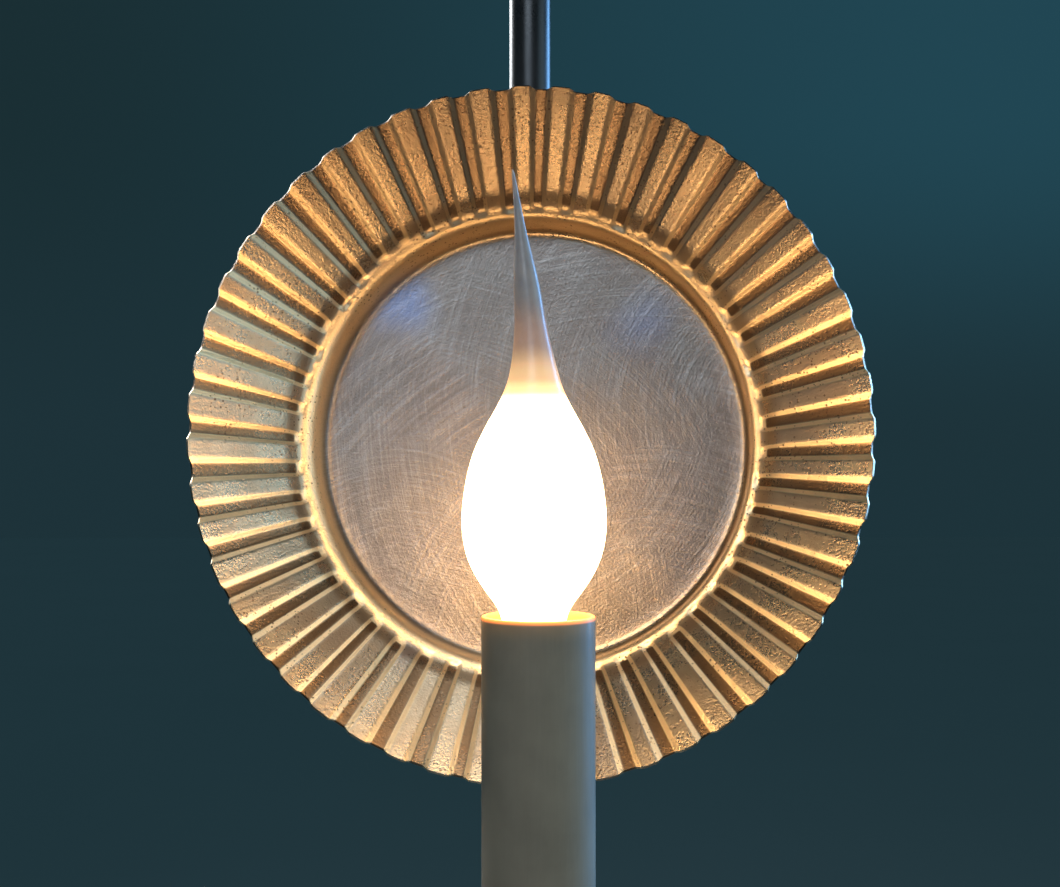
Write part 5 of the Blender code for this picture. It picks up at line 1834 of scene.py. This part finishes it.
@dataclass
class Studio:
    """The floor, the soft lights and the camera. Places in metres."""

    floor_z: float = -1.1
    floor_size: float = 30.0
    eye: Point = (-0.0037, -0.487, -0.19936)
    yaw: float = math.radians(0.48)
    lens: float = 54.98
    ambient: Colour = (0.018, 0.046, 0.059)
    middle: Point = (0.0, -0.1, -0.2)
    softboxes: tuple[tuple[str, Point, float, float, Colour, float], ...] = (
        ("window_back", (1.0, 0.62, 0.0), 0.8, 2.4, (0.20, 0.50, 1.0), 50.0),
        ("window_side", (1.1, -0.46, 0.05), 0.9, 1.0, (0.50, 0.75, 0.95), 80.0),
        ("top_soft", (0.25, -0.4, 1.0), 1.2, 0.8, (0.94, 0.97, 1.0), 50.0),
        ("front_high", (-0.2, -1.05, 0.38), 0.7, 0.55, (0.70, 0.84, 1.0), 50.0),
        ("left_fill", (-1.1, -0.6, -0.1), 0.9, 0.12, (0.85, 0.90, 1.0), 80.0),
        ("rear_fill", (-0.8, 1.1, 0.3), 1.0, 3.0, (0.94, 0.97, 1.0), 50.0),
    )
    high_left: Colour = (0.0105, 0.028, 0.034)
    high_right: Colour = (0.0155, 0.062, 0.087)
    low_left: Colour = (0.0128, 0.0325, 0.0415)
    low_right: Colour = (0.0128, 0.0335, 0.0430)

    def build(self) -> None:
        """Sets up the whole studio."""
        self.floor()
        self.world()
        for name, place, size, power, colour, spread in self.softboxes:
            self.softbox(name, place, size, power, colour, spread)
        self.camera()

    def floor(self) -> None:
        """A plain pale floor."""
        clear_hands()
        bpy.ops.mesh.primitive_plane_add(size=self.floor_size, location=(0.0, 0.0, self.floor_z))
        floor = bpy.context.active_object
        floor.name = "floor"
        material, bench, shader, place = new_material("pale_floor")
        cloud = bench.noise(place, 1.4, 2.0)
        bench.join(bench.mix(cloud, (0.70, 0.70, 0.69), (0.74, 0.74, 0.73)), shader.inputs["Base Color"])
        shader.inputs["Roughness"].default_value = 0.8
        floor.data.materials.append(material)

    def world(self) -> None:
        """A dim surround: one tint in the light it gives, and a soft gradient where it is seen directly."""
        world = bpy.data.worlds.new("surround")
        world.use_nodes = True
        tree = world.node_tree
        bench = Bench(tree)
        x, _, z = bench.split(bench.put("TexCoord").outputs["Generated"])
        right = bench.span(x, -0.32, 0.32)
        low = bench.mix(right, self.low_left, self.low_right)
        high = bench.mix(right, self.high_left, self.high_right)
        backdrop = bench.mix(bench.span(z, 0.0, 0.20), low, high)
        seen = bench.put("LightPath").outputs["Is Camera Ray"]
        bench.join(bench.mix(seen, self.ambient, backdrop), tree.nodes["Background"].inputs[0])
        bpy.context.scene.world = world
        bpy.context.scene.view_settings.view_transform = "Standard"
        bpy.context.scene.view_settings.look = "None"

    def softbox(
        self, name: str, place: Point, size: float, power: float, colour: Colour, spread: float
    ) -> None:
        """A square soft light that points at the middle of the object.

        Args:
            name: its name.
            place: where it stands.
            size: its side.
            power: its power in watts.
            colour: its colour.
            spread: how wide its beam is, in degrees.
        """
        light = bpy.data.lights.new(name, "AREA")
        light.shape = "SQUARE"
        light.size = size
        light.energy = power
        light.color = colour
        light.spread = math.radians(spread)
        obj = bpy.data.objects.new(name, light)
        obj.location = place
        obj.rotation_euler = (Vector(self.middle) - Vector(place)).to_track_quat("-Z", "Y").to_euler()
        bpy.context.scene.collection.objects.link(obj)

    def camera(self) -> None:
        """The camera, level with the plate."""
        data = bpy.data.cameras.new("camera")
        data.lens = self.lens
        data.sensor_width = 36.0
        data.clip_start = 0.01
        data.clip_end = 100.0
        camera = bpy.data.objects.new("camera", data)
        camera.location = self.eye
        camera.rotation_euler = (math.pi / 2, 0.0, -self.yaw)
        bpy.context.scene.collection.objects.link(camera)
        bpy.context.scene.camera = camera


def main() -> None:
    """Builds the sconce and its studio in order."""
    logging.basicConfig(level=logging.INFO, format="%(name)s: %(message)s")
    lean = TinPlate.lean
    _, pin_y, pin_z = TinPlate.pin
    forward, up = TinPlate.reach * math.cos(lean), TinPlate.reach * math.sin(lean)
    plate_middle = (0.0, (pin_y - forward) * MM, (pin_z + up) * MM)
    pan_middle = (0.0, Candle.candle_y * MM, Candle.pan_floor * MM)
    palette = Palette(plate_middle, lean, Candle.rim * MM, pan_middle)
    WallFixing(palette).build()
    DropTube(palette).build()
    Candle(palette).build()
    Lamp(palette).build()
    TinPlate(palette).build()
    Knuckle(palette).build()
    Wiring(palette).build()
    Studio().build()


if __name__ == "__main__":
    main()
